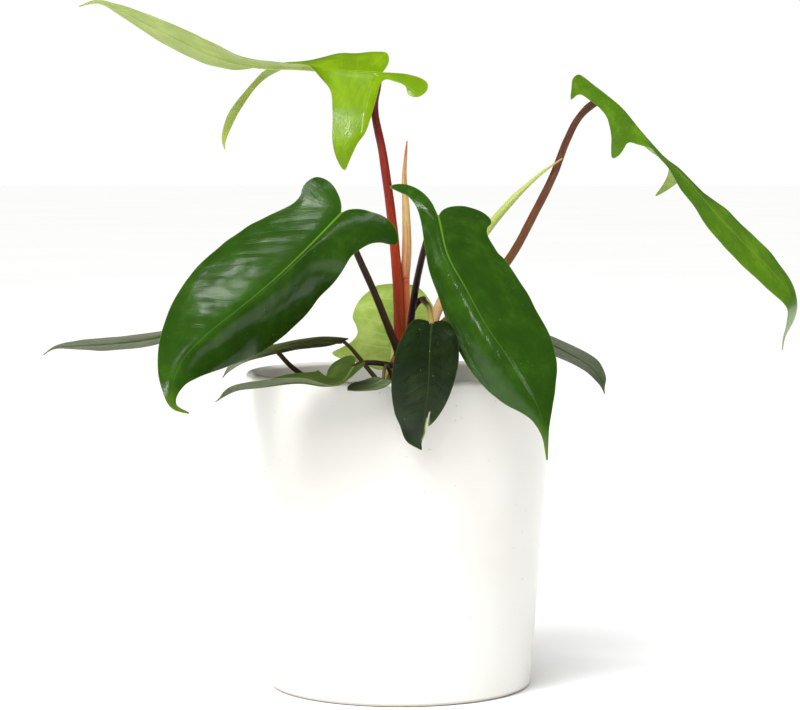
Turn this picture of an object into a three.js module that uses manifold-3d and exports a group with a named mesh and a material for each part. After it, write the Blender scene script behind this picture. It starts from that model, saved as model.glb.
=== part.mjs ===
// Potted philodendron with eleven leaves on arching stalks, in millimetres, +Z up.
// The middle of the pot's underside is the origin, and the plant's front faces -Y.
import * as THREE from "three";
import { mergeVertices } from "three/addons/utils/BufferGeometryUtils.js";
import Module from "manifold-3d";

const wasm = await Module();
wasm.setup();
const { Manifold, Mesh } = wasm;

// Driving dimensions of the pot
const potHeight = 180;
const potRimRadius = 88;
const potBaseRadius = 75;
const potWall = 5.5;
const potFloor = 7;
const drainHoleRadius = 5;
const drainHoleOffset = 32;
const drainHoleCount = 4;

// Driving dimensions of the soil
const soilLevel = 162;
const soilRelief = 2.2;
const soilGap = 0.4;

// Driving dimensions of the plant
const bladeThickness = 0.8;
const ribHalfWidth = 2.2;
const ribDepth = 2.2;
const seatGap = 0.3;
const stalkSides = 10;

const darkGreen = 0x2f5f1c;
const brightGreen = 0x7fae2c;

// Half outlines in blade lengths: along the midrib from the stalk, then out from the midrib
const plainEdge = [
  [0, 0], [-.045, .018], [-.105, .055], [-.14, .115], [-.135, .175], [-.09, .215], [-.02, .215],
  [.06, .195], [.14, .195], [.26, .225], [.4, .25], [.55, .245], [.7, .205], [.82, .14],
  [.9, .072], [.945, .026], [.975, .009], [1, .003],
];
const ovalEdge = [
  [0, 0], [-.035, .03], [-.045, .09], [-.02, .16], [.06, .215], [.2, .25], [.38, .27],
  [.55, .265], [.7, .225], [.82, .16], [.9, .09], [.95, .035], [.98, .012], [1, .003],
];
const bluntEdge = [
  [0, 0], [-.012, .03], [-.005, .09], [.04, .16], [.1, .21], [.2, .245], [.38, .27],
  [.55, .265], [.7, .225], [.82, .16], [.9, .09], [.95, .035], [.98, .012], [1, .003],
];

// Each leaf: midrib points in mm, the first behind the stalk's joint and the second at the joint;
// the upper face's direction at each; half outlines; and bends as [along, fold, curl] in degrees
const leaves = {
  front_left: {
    color: darkGreen,
    spacing: 8,
    midrib: [
      [-16.5, -30, 287], [-32.5, -45, 271], [-51, -61, 252], [-69.5, -75, 234.5],
      [-86.5, -86, 220.5], [-103.5, -95, 207], [-115.5, -101, 194.5], [-121, -106, 182],
      [-120.5, -109, 169.5], [-112.5, -109, 165.5],
    ],
    faces: [[0, -.88, .48]],
    rightEdge: [
      [0, 0], [-.03, .022], [-.062, .058], [-.09, .104], [-.102, .15], [-.095, .182],
      [-.065, .196], [-.03, .193], [0, .178], [.04, .178], [.09, .2], [.15, .231], [.25, .26],
      [.34, .27], [.46, .264], [.57, .237], [.65, .2], [.72, .154], [.78, .106], [.84, .065],
      [.89, .036], [.94, .014], [1, .003],
    ],
    leftEdge: [
      [0, 0], [-.03, .012], [-.06, .039], [-.08, .073], [-.1, .112], [-.103, .155], [-.085, .2],
      [-.066, .211], [-.05, .196], [-.03, .169], [0, .147], [.04, .135], [.09, .13],
      [.14, .143], [.21, .172], [.28, .198], [.35, .213], [.43, .221], [.51, .207], [.6, .172],
      [.72, .123], [.81, .077], [.87, .04], [.92, .016], [1, .003],
    ],
    rightBend: [[-.15, -14, -6], [.2, -16, -8], [1, -14, -10]],
    leftBend: [[-.15, -5, -25], [.1, -18, -40], [.25, -34, -60], [1, -34, -60]],
  },
  front_right: {
    color: darkGreen,
    spacing: 8,
    midrib: [
      [16.5, -42, 283.5], [21, -60, 269.5], [26, -76, 248.5], [35, -86, 232], [46, -96, 212],
      [57, -103, 196], [66.5, -108, 181], [73.5, -111, 168.5], [77, -112, 155.5],
      [78.5, -111, 140.5],
    ],
    faces: [[.32, -.82, .48]],
    rightEdge: [
      [0, 0], [-.03, .004], [-.07, .008], [-.13, .024], [-.18, .052], [-.22, .09],
      [-.238, .135], [-.19, .112], [-.14, .082], [-.07, .066], [-.01, .066], [.07, .075],
      [.16, .086], [.26, .108], [.37, .133], [.48, .15], [.6, .152], [.72, .115], [.8, .068],
      [.86, .032], [.92, .012], [1, .003],
    ],
    leftEdge: [
      [0, 0], [-.03, .02], [-.06, .058], [-.082, .12], [-.07, .177], [-.03, .208], [0, .207],
      [.02, .19], [.05, .18], [.13, .2], [.28, .22], [.4, .231], [.52, .223], [.63, .202],
      [.72, .159], [.78, .104], [.84, .05], [.9, .018], [1, .003],
    ],
    rightBend: [[-.15, -15, -60], [.1, -38, -80], [1, -38, -70]],
    leftBend: [[-.15, 0, -8], [.2, -2, -12], [1, -4, -15]],
  },
  front_small: {
    color: 0x263f1d,
    spacing: 5.5,
    midrib: [
      [18, -86, 216], [17, -92, 211.5], [16, -97, 200.5], [15.5, -100, 185], [14, -101, 169],
      [12, -101, 157], [10, -100, 149], [11.5, -100, 145],
    ],
    faces: [[0, -.9, .45]],
    rightEdge: [
      [0, 0], [-.035, .03], [-.045, .069], [-.04, .121], [.01, .172], [.1, .213], [.2, .254],
      [.33, .283], [.47, .29], [.63, .269], [.79, .214], [.91, .118], [.97, .034], [1, .006],
    ],
    leftEdge: [
      [0, 0], [-.04, .017], [-.07, .058], [-.085, .1], [-.06, .15], [.02, .2], [.11, .23],
      [.19, .241], [.29, .241], [.43, .212], [.6, .16], [.72, .102], [.79, .056], [.815, .03],
      [.85, .035], [.9, .03], [.96, .018], [1, .006],
    ],
    rightBend: [[-.15, 6, -10], [.2, 6, -15], [1, 4, -15]],
    leftBend: [[-.15, -4, -20], [.2, -6, -25], [1, -8, -30]],
  },
  back_pale: {
    color: 0x93b648,
    spacing: 6,
    midrib: [
      [-6, 17, 177.5], [-5, 22, 183], [-3.5, 34, 198.5], [-2.5, 48, 216.5], [-2, 70, 226],
      [-4, 97, 221.5], [-7.5, 118, 208],
    ],
    faces: [
      [0, -1, .3], [0, -1, .3], [0, -.9, .4], [0, -.6, .8], [0, 0, 1], [0, .5, .9], [0, .8, .5],
    ],
    rightEdge: [
      [0, 0], [-.04, .02], [-.06, .06], [-.04, .13], [0, .21], [.04, .27], [.08, .29],
      [.11, .25], [.14, .2], [.18, .185], [.23, .192], [.28, .196], [.34, .19], [.42, .162],
      [.5, .124], [.57, .096], [.65, .078], [.75, .06], [.86, .036], [.94, .014], [1, .003],
    ],
    leftEdge: [
      [0, 0], [-.04, .02], [-.05, .06], [-.03, .12], [0, .2], [.03, .27], [.065, .3],
      [.09, .26], [.12, .21], [.17, .18], [.22, .19], [.27, .21], [.34, .2], [.42, .172],
      [.5, .13], [.57, .1], [.65, .08], [.75, .06], [.86, .036], [.94, .014], [1, .003],
    ],
    rightBend: [[-.15, 0, -10], [.2, 0, -20], [1, 0, -20]],
    leftBend: [[-.15, 0, -10], [.2, 0, -20], [1, 0, -20]],
  },
  top_left: {
    color: brightGreen,
    spacing: 6.5,
    midrib: [
      [7, 3, 349], [-10.5, 6, 350], [-31.5, 12, 351.5], [-57.5, 18, 353.5], [-83.5, 24, 354.5],
      [-105.5, 30, 359.5], [-132, 36, 371.5], [-164, 42, 387.5], [-176, 44, 392],
      [-187, 46, 389.5],
    ],
    faces: [
      [0, 0, 1], [0, 0, 1], [.05, .05, 1], [.05, .08, 1], [.05, .12, 1], [.2, .25, .95],
      [.3, .3, .9], [.3, .28, .9], [.2, .2, .95], [0, .1, 1],
    ],
    rightEdge: [
      [0, 0], [-.005, .03], [-.007, .07], [.002, .102], [.02, .124], [.06, .13], [.12, .128],
      [.2, .137], [.29, .15], [.37, .168], [.44, .2], [.475, .26], [.489, .33], [.489, .375],
      [.484, .4], [.499, .36], [.504, .31], [.497, .26], [.468, .2], [.42, .15], [.37, .122],
      [.335, .1], [.37, .094], [.43, .1], [.52, .107], [.64, .105], [.74, .091], [.83, .065],
      [.9, .036], [.95, .016], [1, .003],
    ],
    leftEdge: [
      [0, 0], [-.03, .002], [-.07, .008], [-.12, .03], [-.15, .06], [-.152, .1], [-.13, .122],
      [-.1, .112], [-.085, .075], [-.05, .052], [-.018, .042], [-.008, .055], [-.006, .085],
      [-.003, .12], [.005, .158], [.02, .195], [.043, .235], [.06, .28], [.075, .316],
      [.1, .29], [.122, .235], [.133, .14], [.15, .075], [.19, .045], [.25, .06], [.35, .085],
      [.48, .098], [.6, .1], [.72, .092], [.82, .065], [.9, .035], [.95, .016], [1, .003],
    ],
    rightBend: [
      [-.02, 36, -10], [.04, 37, -15], [.14, 41, -38], [.3, 31, -62], [.5, 18, -78],
      [.6, 0, -20], [1, 0, -10],
    ],
    leftBend: [
      [-.15, -25, -50], [-.03, -30, -50], [.03, -68, -20], [.16, -72, -20], [.22, 5, -20],
      [.5, 8, 0], [1, 0, -10],
    ],
  },
  top_right: {
    color: 0x4f8f22,
    spacing: 6.5,
    midrib: [
      [109.5, 24, 345], [119, 30, 338], [129.5, 35, 329.5], [140.5, 41, 317], [153, 47, 303.5],
      [167, 53, 290], [189.5, 62, 265.5], [205, 67, 250], [220.5, 71, 235], [232, 74, 221],
      [235, 75, 212], [233.5, 76, 203.5], [230, 77, 194], [229, 77, 186.5],
    ],
    faces: [
      [.7, -.1, .75], [.7, -.1, .75], [.7, -.1, .75], [.7, -.06, .75], [.7, -.1, .75],
      [.62, -.38, .7], [.57, -.48, .68], [.6, -.48, .65], [.6, -.5, .64], [.74, -.46, .5],
      [.9, -.4, .2], [.9, -.4, -.2], [.9, -.3, 0], [.9, -.3, .2],
    ],
    rightEdge: [
      [0, 0], [-.03, .004], [-.09, .003], [-.115, .012], [-.13, .04], [-.125, .07], [-.115, .1],
      [-.1, .075], [-.085, .064], [-.05, .061], [-.015, .06], [.02, .068], [.05, .088],
      [.08, .11], [.11, .136], [.128, .148], [.138, .128], [.138, .1], [.137, .078],
      [.148, .064], [.18, .062], [.23, .074], [.3, .086], [.42, .095], [.55, .1], [.7, .095],
      [.82, .07], [.9, .04], [.95, .018], [1, .003],
    ],
    leftEdge: [
      [0, 0], [-.02, .01], [-.045, .03], [-.058, .06], [-.052, .1], [-.025, .122], [.01, .12],
      [.06, .118], [.13, .118], [.2, .116], [.26, .116], [.3, .12], [.328, .132], [.355, .162],
      [.383, .205], [.408, .255], [.428, .302], [.429, .262], [.421, .215], [.406, .168],
      [.39, .128], [.378, .104], [.388, .09], [.45, .092], [.55, .1], [.7, .095], [.82, .07],
      [.9, .04], [.95, .018], [1, .003],
    ],
    rightBend: [
      [-.13, -40, -30], [.02, -40, -30], [.14, -48, -20], [.2, -10, 0], [.4, -2, -10],
      [1, 0, -20],
    ],
    leftBend: [
      [-.1, -10, -30], [.12, -9, -16], [.26, -2, -34], [.34, 0, -66], [.44, 0, -66],
      [.56, 0, -20], [1, 0, -20],
    ],
  },
  far_left: {
    color: darkGreen,
    spacing: 8,
    midrib: [
      [-84.5, 2, 206.5], [-92.5, 0, 206.5], [-114, -6, 206], [-141.5, -12, 199.5],
      [-167, -16, 196.5], [-185.5, -18, 195.5], [-195, -19, 194.5], [-201.5, -20, 190.5],
    ],
    faces: [[0, .22, 1]],
    rightEdge: plainEdge,
    leftEdge: plainEdge,
    rightBend: [[-.15, 0, -10], [.2, 4, -10], [1, 0, 0]],
    leftBend: [[-.15, 0, -10], [.2, 2, -10], [1, 0, 0]],
  },
  mid_left: {
    color: darkGreen,
    spacing: 7,
    midrib: [
      [-27, -26, 199.5], [-32, -29, 199], [-50, -35.7, 199], [-69, -41.5, 195.8],
      [-85.5, -45.4, 191], [-94.5, -47.3, 185], [-98.5, -48.3, 179.5],
    ],
    faces: [[0, .27, 1]],
    rightEdge: bluntEdge,
    leftEdge: bluntEdge,
    rightBend: [[-.15, 0, -10], [.2, 4, -10], [1, 0, 0]],
    leftBend: [[-.15, 0, -10], [.2, 2, -10], [1, 0, 0]],
  },
  low_left: {
    color: 0x3c6420,
    spacing: 6.6,
    midrib: [
      [-20.5, -84, 193], [-25, -90, 189], [-30.5, -98, 182], [-40, -103, 180.5],
      [-53.5, -105, 182], [-73.5, -105, 179.5], [-88.5, -103, 177], [-99, -101, 171],
    ],
    faces: [
      [-.2, -.6, .6], [-.2, -.6, .6], [-.1, -.4, .8], [0, -.1, 1], [0, .05, 1], [0, .1, 1],
      [0, .1, 1], [0, .1, 1],
    ],
    rightEdge: plainEdge,
    leftEdge: bluntEdge,
    rightBend: [[-.15, -22, 0], [.1, -20, 0], [.25, 12, 0], [1, 15, 0]],
    leftBend: [[-.15, 44, 0], [.12, 44, 0], [.3, 8, 0], [1, 8, 0]],
  },
  tiny: {
    color: 0x5f734f,
    spacing: 3.5,
    midrib: [
      [-6.5, -86, 183.5], [-9, -91, 182], [-15, -98, 179.5], [-22.5, -106, 178.5],
      [-26.5, -110, 178], [-28, -112, 178],
    ],
    faces: [[.1, -.2, 1]],
    rightEdge: ovalEdge,
    leftEdge: ovalEdge,
    rightBend: [[-.15, 5, 0], [.2, 5, 0], [1, 5, 0]],
    leftBend: [[-.15, 5, 0], [.2, 5, 0], [1, 5, 0]],
  },
  low_right: {
    color: darkGreen,
    spacing: 7.5,
    midrib: [
      [39.5, 34, 208], [48, 38, 205.5], [70.5, 48, 200], [96.5, 58, 188], [112, 64, 178.5],
      [119, 66, 170.5], [122, 67, 161],
    ],
    faces: [[.1, .15, 1]],
    rightEdge: plainEdge,
    leftEdge: plainEdge,
    rightBend: [[-.15, 0, -10], [.2, 2, -10], [1, 0, 0]],
    leftBend: [[-.15, 0, -10], [.2, 2, -10], [1, 0, 0]],
  },
};

// Each stalk: points in mm from the crown to the blade's joint, and [share of length, radius]
const stalks = {
  petiole_top_left: {
    color: 0x962f1c,
    path: [
      [0, 0, 178], [-.5, -1, 200], [-1.5, 0, 232], [-5, 2, 269], [-10.2, 5, 306],
      [-14.6, 8, 329.5], [-12, 8, 346],
    ],
    radii: [[0, 3.1], [.35, 2.9], [.7, 2.5], [1, 1.9]],
  },
  shoot_internode: {
    color: 0xd2683c,
    path: [[3, 2, 180], [3.4, 3.2, 203.5], [3, 3.2, 232]],
    radii: [[0, 1.9], [1, 2.5]],
  },
  shoot_sheath: {
    color: 0xe0b583,
    path: [[3, 3.2, 232.4], [4, 3, 252], [3.5, 2.5, 271.5], [2.5, 2, 291.5], [4, 1, 311]],
    radii: [[0, 2.5], [.2, 2.9], [.5, 2.2], [.75, 1.4], [1, .5]],
  },
  petiole_front_left: {
    color: 0x46301d,
    path: [
      [-1, -3.5, 174], [-1, -10, 191], [-5.5, -16, 203], [-14, -25, 225], [-24, -35, 248],
      [-29, -40, 260.5], [-32.5, -44, 270.5],
    ],
    radii: [[0, 2.6], [.35, 2.1], [1, 1.8]],
  },
  petiole_front_right: {
    color: 0x3a221b,
    path: [
      [3.5, -3.5, 172], [5, -12, 196], [6, -18, 209], [9, -33, 230.5], [13.5, -48, 251.5],
      [17, -56, 263], [21, -59, 269],
    ],
    radii: [[0, 2.6], [.35, 2.1], [1, 1.8]],
  },
  petiole_top_right: {
    color: 0x66382a,
    path: [
      [4, 2.5, 172], [16, 12, 197], [37.5, 18, 216.5], [62, 22, 241.5], [78, 24, 270],
      [88.5, 25, 291], [96, 26, 310.5], [102.5, 27, 323.5], [109.5, 29, 331], [118, 30, 335],
    ],
    radii: [[0, 2.9], [.3, 2.6], [.7, 2.3], [1, 1.9]],
  },
  petiole_front_small: {
    color: 0x3a2420,
    path: [
      [6, -1, 180], [7.2, -4, 199], [6.6, -12, 213], [9.5, -20, 220], [12.6, -28, 222.2],
      [13, -46, 222.6], [13.5, -67, 222.8], [16, -83, 219.8], [17, -91, 213.5],
    ],
    radii: [[0, 1.9], [.5, 1.75], [1, 1.5]],
  },
  petiole_back_pale: {
    color: 0xb9c77c,
    path: [[-6, 11, 150], [-8, 12, 168], [-7.5, 16, 177.5], [-5, 22, 182]],
    radii: [[0, 1.8], [1, 1.5]],
  },
  petiole_far_left: {
    color: 0x6d4131,
    path: [
      [-3, -1, 168], [-16, -8, 172.5], [-37, -10, 173], [-53, -9, 177], [-62.5, -8, 183.5],
      [-69.5, -6, 191], [-78.5, -4, 199], [-91.5, 0, 206],
    ],
    radii: [[0, 1.9], [.5, 1.5], [1, 1.3]],
  },
  petiole_mid_left: {
    color: 0x585224,
    path: [
      [-9, -15, 150], [-8, -22, 169.5], [-12.5, -24, 176], [-22, -26, 188], [-28, -28, 195.5],
      [-32, -29, 198.5],
    ],
    radii: [[0, 1.6], [1, 1.1]],
  },
  petiole_low_left: {
    color: 0x3c2726,
    path: [[1, -3, 181], [-6, -30, 185.5], [-15.5, -60, 189], [-21.5, -82, 190], [-25, -90, 189]],
    radii: [[0, 1.9], [.4, 1.5], [1, 1.4]],
  },
  petiole_tiny: {
    color: 0x5a5032,
    path: [[-2, -17, 150], [-3, -30, 172], [-7, -60, 187], [-8.5, -80, 186.5], [-9, -91, 182]],
    radii: [[0, 1.4], [1, .9]],
  },
  petiole_low_right: {
    color: 0x5c3f2e,
    path: [[3, 4, 172], [14.5, 19, 186], [29, 28, 199], [41, 34, 204], [48, 38, 205]],
    radii: [[0, 1.9], [1, 1.4]],
  },
  spear_leaf: {
    color: 0xbcd070,
    path: [
      [6, 1, 176], [15, 7, 194], [22, 17, 214.5], [36, 27, 239], [50.5, 32.5, 259.9],
      [67.5, 30, 279.7], [82.5, 23, 293.4], [93.3, 18, 301],
    ],
    radii: [[0, 2.4], [.35, 2.9], [.6, 2.9], [.76, 2.2], [.88, 1.1], [1, .4]],
  },
};

const crown = {
  path: [[-1, 0, 128], [-1, 0, 158], [-.5, 0, 176], [2, 0, 188], [2.5, 0, 193.5]],
  radii: [[0, 3.5], [.08, 6], [.45, 7.2], [.75, 7.2], [.93, 6.2], [.98, 4.8], [1, 3]],
};

// Curves and rows

function curveThrough(points) {
  const vectors = points.map((point) => new THREE.Vector3(...point));
  const curve = new THREE.CatmullRomCurve3(vectors, false, "centripetal");
  curve.arcLengthDivisions = 40 * (points.length - 1);
  const lengths = curve.getLengths();
  const length = lengths[lengths.length - 1];
  const knots = points.map((point, index) => lengths[40 * index]);
  const tangentAt = (distance) => {
    const from = Math.max(0, Math.min(distance - 0.05, length - 0.1));
    const ahead = curve.getPointAt((from + 0.1) / length);
    return ahead.sub(curve.getPointAt(from / length)).normalize();
  };
  const pointAt = (distance) => {
    const inside = Math.min(Math.max(distance, 0), length);
    const point = curve.getPointAt(inside / length);
    return point.addScaledVector(tangentAt(inside), distance - inside);
  };
  return { length, knots, pointAt, tangentAt };
}

// The values of a row table at a place, smoothly stepped between its rows
function rowsAt(rows, place) {
  if (place <= rows[0][0]) {
    return rows[0].slice(1);
  }
  for (let i = 1; i < rows.length; i++) {
    const [before, after] = [rows[i - 1], rows[i]];
    if (place <= after[0]) {
      const share = (place - before[0]) / (after[0] - before[0]);
      const eased = share * share * (3 - 2 * share);
      return before.slice(1).map((value, k) => value + (after[k + 1] - value) * eased);
    }
  }
  return rows[rows.length - 1].slice(1);
}

// The values of a row table at a place, in straight steps
function linearRowsAt(rows, place) {
  for (let i = 1; i < rows.length; i++) {
    const [before, after] = [rows[i - 1], rows[i]];
    if (place <= after[0]) {
      const share = Math.max(0, (place - before[0]) / (after[0] - before[0]));
      return before.slice(1).map((value, k) => value + (after[k + 1] - value) * share);
    }
  }
  return rows[rows.length - 1].slice(1);
}

// Leaf blades

// A function from flat leaf coordinates to a point in mm, with lift off the blade's middle surface
function bladeSurface(leaf) {
  const curve = curveThrough(leaf.midrib);
  const start = curve.knots[1];
  const length = curve.length - start;
  const faceRows = curve.knots.map((knot, i) => [knot, ...leaf.faces[leaf.faces.length > 1 ? i : 0]]);
  const place = (along, out, lift) => {
    const distance = start + along * length;
    const tangent = curve.tangentAt(Math.min(Math.max(distance, 0), curve.length));
    const up = new THREE.Vector3(...rowsAt(faceRows, distance));
    up.addScaledVector(tangent, -up.dot(tangent)).normalize();
    const side = new THREE.Vector3().crossVectors(tangent, up);
    const [fold, curl] = rowsAt(out >= 0 ? leaf.rightBend : leaf.leftBend, along);
    const reach = Math.abs(out) * length;
    const angle = THREE.MathUtils.degToRad(fold);
    const rate = THREE.MathUtils.degToRad(curl) / (0.25 * length);
    const turned = angle + rate * reach;
    let across = reach * Math.cos(angle);
    let rise = reach * Math.sin(angle);
    if (Math.abs(rate) > 1e-7) {
      across = (Math.sin(turned) - Math.sin(angle)) / rate;
      rise = (Math.cos(angle) - Math.cos(turned)) / rate;
    }
    const sign = out >= 0 ? 1 : -1;
    const tilt = Math.min(1, reach / ribHalfWidth) * turned;
    const point = curve.pointAt(distance);
    point.addScaledVector(side, sign * (across - lift * Math.sin(tilt)));
    return point.addScaledVector(up, rise + lift * Math.cos(tilt));
  };
  return { place, length };
}

function sampleEdge(edge, step) {
  const curve = curveThrough(edge.map(([along, out]) => [along, out, 0]));
  const count = Math.round(curve.length / step);
  const samples = [];
  for (let i = 0; i <= count; i++) {
    const point = curve.pointAt((curve.length * i) / count);
    samples.push([point.x, Math.max(point.y, i ? 0.0015 : 0)]);
  }
  return samples;
}

function isInside(outline, x, y) {
  let inside = false;
  for (let i = 0, j = outline.length - 1; i < outline.length; j = i++) {
    const [xi, yi] = outline[i];
    const [xj, yj] = outline[j];
    if (yi > y !== yj > y && x < ((xj - xi) * (y - yi)) / (yj - yi) + xi) {
      inside = !inside;
    }
  }
  return inside;
}

function distanceToEdge(outline, x, y) {
  let least = Infinity;
  for (let i = 0, j = outline.length - 1; i < outline.length; j = i++) {
    const [ax, ay] = outline[j];
    const [dx, dy] = [outline[i][0] - ax, outline[i][1] - ay];
    const share = ((x - ax) * dx + (y - ay) * dy) / Math.max(dx * dx + dy * dy, 1e-12);
    const held = Math.min(1, Math.max(0, share));
    least = Math.min(least, Math.hypot(x - ax - held * dx, y - ay - held * dy));
  }
  return least;
}

// Delaunay triangles of flat points, each listed anticlockwise
function triangulate(points) {
  const size = 10;
  const all = [...points, [-size, -size], [size, -size], [0, size]];
  const first = points.length;
  const circle = (a, b, c) => {
    const [ax, ay] = all[a];
    const [bx, by] = [all[b][0] - ax, all[b][1] - ay];
    const [cx, cy] = [all[c][0] - ax, all[c][1] - ay];
    const d = 2 * (bx * cy - by * cx);
    const x = (cy * (bx * bx + by * by) - by * (cx * cx + cy * cy)) / d;
    const y = (bx * (cx * cx + cy * cy) - cx * (bx * bx + by * by)) / d;
    return { corners: [a, b, c], x: x + ax, y: y + ay, radius: x * x + y * y };
  };
  let triangles = [circle(first, first + 1, first + 2)];
  points.forEach(([x, y], index) => {
    const open = new Map();
    const kept = [];
    for (const triangle of triangles) {
      const away = (x - triangle.x) ** 2 + (y - triangle.y) ** 2;
      if (away > triangle.radius) {
        kept.push(triangle);
        continue;
      }
      const [a, b, c] = triangle.corners;
      for (const [from, to] of [[a, b], [b, c], [c, a]]) {
        const back = to + "_" + from;
        if (open.has(back)) {
          open.delete(back);
        } else {
          open.set(from + "_" + to, [from, to]);
        }
      }
    }
    triangles = kept;
    for (const [from, to] of open.values()) {
      triangles.push(circle(from, to, index));
    }
  });
  return triangles.map((t) => t.corners).filter((t) => t.every((corner) => corner < first));
}

// The flat leaf: outline points first, then inner points, with triangles shared by both faces
function flatBlade(leaf, length) {
  const step = (leaf.spacing / length) * 0.62;
  const right = sampleEdge(leaf.rightEdge, step);
  const left = sampleEdge(leaf.leftEdge, step).map(([along, out]) => [along, -out]);
  let outline = [...right, ...left.slice(1).reverse()];
  const grid = leaf.spacing / length;
  const ribRow = ribHalfWidth / length;
  for (let round = 0; round < 8; round++) {
    const inner = [];
    const add = (along, out, room) => {
      if (isInside(outline, along, out) && distanceToEdge(outline, along, out) > room) {
        inner.push([along, out]);
      }
    };
    for (let along = grid * 0.4; along < 1; along += grid * 0.75) {
      add(along, 0, 0.002);
      add(along + grid * 0.37, ribRow, 0.006);
      add(along + grid * 0.37, -ribRow, 0.006);
    }
    for (let row = 0; row * grid * 0.87 < 0.5; row++) {
      const out = ribRow + grid * (0.75 + row * 0.87);
      for (let along = -0.3 + (row % 2) * grid * 0.5; along < 1; along += grid) {
        const shift = 0.0007 * Math.sin(97 * along + 31 * row);
        add(along + shift, out - shift, grid * 0.45);
        add(along - shift, -out + shift, grid * 0.45);
      }
    }
    const points = [...outline, ...inner];
    const triangles = triangulate(points).filter((triangle) => {
      const [x, y] = [0, 1].map((k) => triangle.reduce((sum, i) => sum + points[i][k], 0) / 3);
      return isInside(outline, x, y);
    });
    const edges = new Set();
    for (const [a, b, c] of triangles) {
      edges.add(a + "_" + b).add(b + "_" + c).add(c + "_" + a);
    }
    const ring = outline.map((point, i) => [i, (i + 1) % outline.length]);
    const missing = ring.filter(([a, b]) => edges.has(b + "_" + a) === edges.has(a + "_" + b));
    if (!missing.length) {
      return { points, triangles, rim: outline.length };
    }
    const split = new Set(missing.map(([a]) => a));
    outline = outline.flatMap((point, i) => {
      const next = outline[(i + 1) % outline.length];
      const middle = [(point[0] + next[0]) / 2, (point[1] + next[1]) / 2];
      return split.has(i) ? [point, middle] : [point];
    });
  }
  throw new Error("the outline of a leaf can't be filled");
}

function manifoldFrom(vertices, triangles) {
  return new Manifold(
    new Mesh({
      numProp: 3,
      vertProperties: new Float32Array(vertices.flatMap((v) => [v.x, v.y, v.z])),
      triVerts: new Uint32Array(triangles.flat()),
    }),
  );
}

// A blade with both faces, its rim and its midrib, or grown by a gap to cut its stalk
function bladeSolid(leaf, grow) {
  const { place, length } = bladeSurface(leaf);
  leaf.flat ??= flatBlade(leaf, length);
  const { points, triangles, rim } = leaf.flat;
  const half = bladeThickness / 2;
  const upper = [];
  const lower = [];
  points.forEach(([along, out], i) => {
    let [s, w] = [along, out];
    if (i < rim) {
      const [before, after] = [points[(i + rim - 1) % rim], points[(i + 1) % rim]];
      const [dx, dy] = [after[0] - before[0], after[1] - before[1]];
      const span = Math.hypot(dx, dy) || 1;
      s -= (dy / span) * (grow / length);
      w += (dx / span) * (grow / length);
    }
    const size = ribDepth * Math.min(1, length / 110);
    const rib = Math.abs(out) < 1e-6 ? size * Math.max(0, 1 - along) ** 0.8 : 0;
    upper.push(place(s, w, half + grow));
    lower.push(place(s, w, -half - rib - grow));
  });
  const count = points.length;
  const faces = [];
  for (const [a, b, c] of triangles) {
    faces.push([a, c, b], [count + a, count + b, count + c]);
  }
  for (let i = 0; i < rim; i++) {
    const next = (i + 1) % rim;
    faces.push([next, i, count + i], [next, count + i, count + next]);
  }
  return manifoldFrom([...upper, ...lower], faces);
}

// Stalks and the crown

function stalkSolid({ path, radii }, grow) {
  const curve = curveThrough(path);
  const rows = Math.max(8, Math.round(curve.length / 10));
  const vertices = [];
  const faces = [];
  let across = new THREE.Vector3(1, 0, 0);
  for (let row = 0; row <= rows; row++) {
    const share = row / rows;
    const tangent = curve.tangentAt(share * curve.length);
    across.addScaledVector(tangent, -across.dot(tangent)).normalize();
    const beside = new THREE.Vector3().crossVectors(tangent, across);
    const middle = curve.pointAt(share * curve.length);
    const end = row === 0 ? -grow : row === rows ? grow : 0;
    const [radius] = linearRowsAt(radii, share);
    for (let k = 0; k < stalkSides; k++) {
      const turn = (2 * Math.PI * k) / stalkSides;
      const point = middle.clone().addScaledVector(tangent, end);
      point.addScaledVector(across, (radius + grow) * Math.cos(turn));
      vertices.push(point.addScaledVector(beside, (radius + grow) * Math.sin(turn)));
    }
  }
  for (let row = 0; row < rows; row++) {
    for (let k = 0; k < stalkSides; k++) {
      const [a, b] = [row * stalkSides + k, row * stalkSides + ((k + 1) % stalkSides)];
      faces.push([a, b, b + stalkSides], [a, b + stalkSides, a + stalkSides]);
    }
  }
  const last = rows * stalkSides;
  for (let k = 1; k < stalkSides - 1; k++) {
    faces.push([0, k + 1, k], [last, last + k, last + k + 1]);
  }
  return manifoldFrom(vertices, faces);
}

function largest(solid) {
  const bodies = solid.decompose();
  return bodies.reduce((best, body) => (body.volume() > best.volume() ? body : best));
}

// The pot and the soil

function turned(profile, sides) {
  const points = profile.map(([radius, height]) => new THREE.Vector2(radius, height));
  const geometry = new THREE.LatheGeometry(points, sides).rotateX(Math.PI / 2);
  geometry.deleteAttribute("normal");
  geometry.deleteAttribute("uv");
  const merged = mergeVertices(geometry, 1e-4);
  const solid = new Manifold(
    new Mesh({
      numProp: 3,
      vertProperties: merged.attributes.position.array,
      triVerts: new Uint32Array(merged.index.array),
    }),
  );
  return solid;
}

function potRadiusAt(height) {
  return potBaseRadius + ((potRimRadius - potBaseRadius) * height) / potHeight;
}

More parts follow.
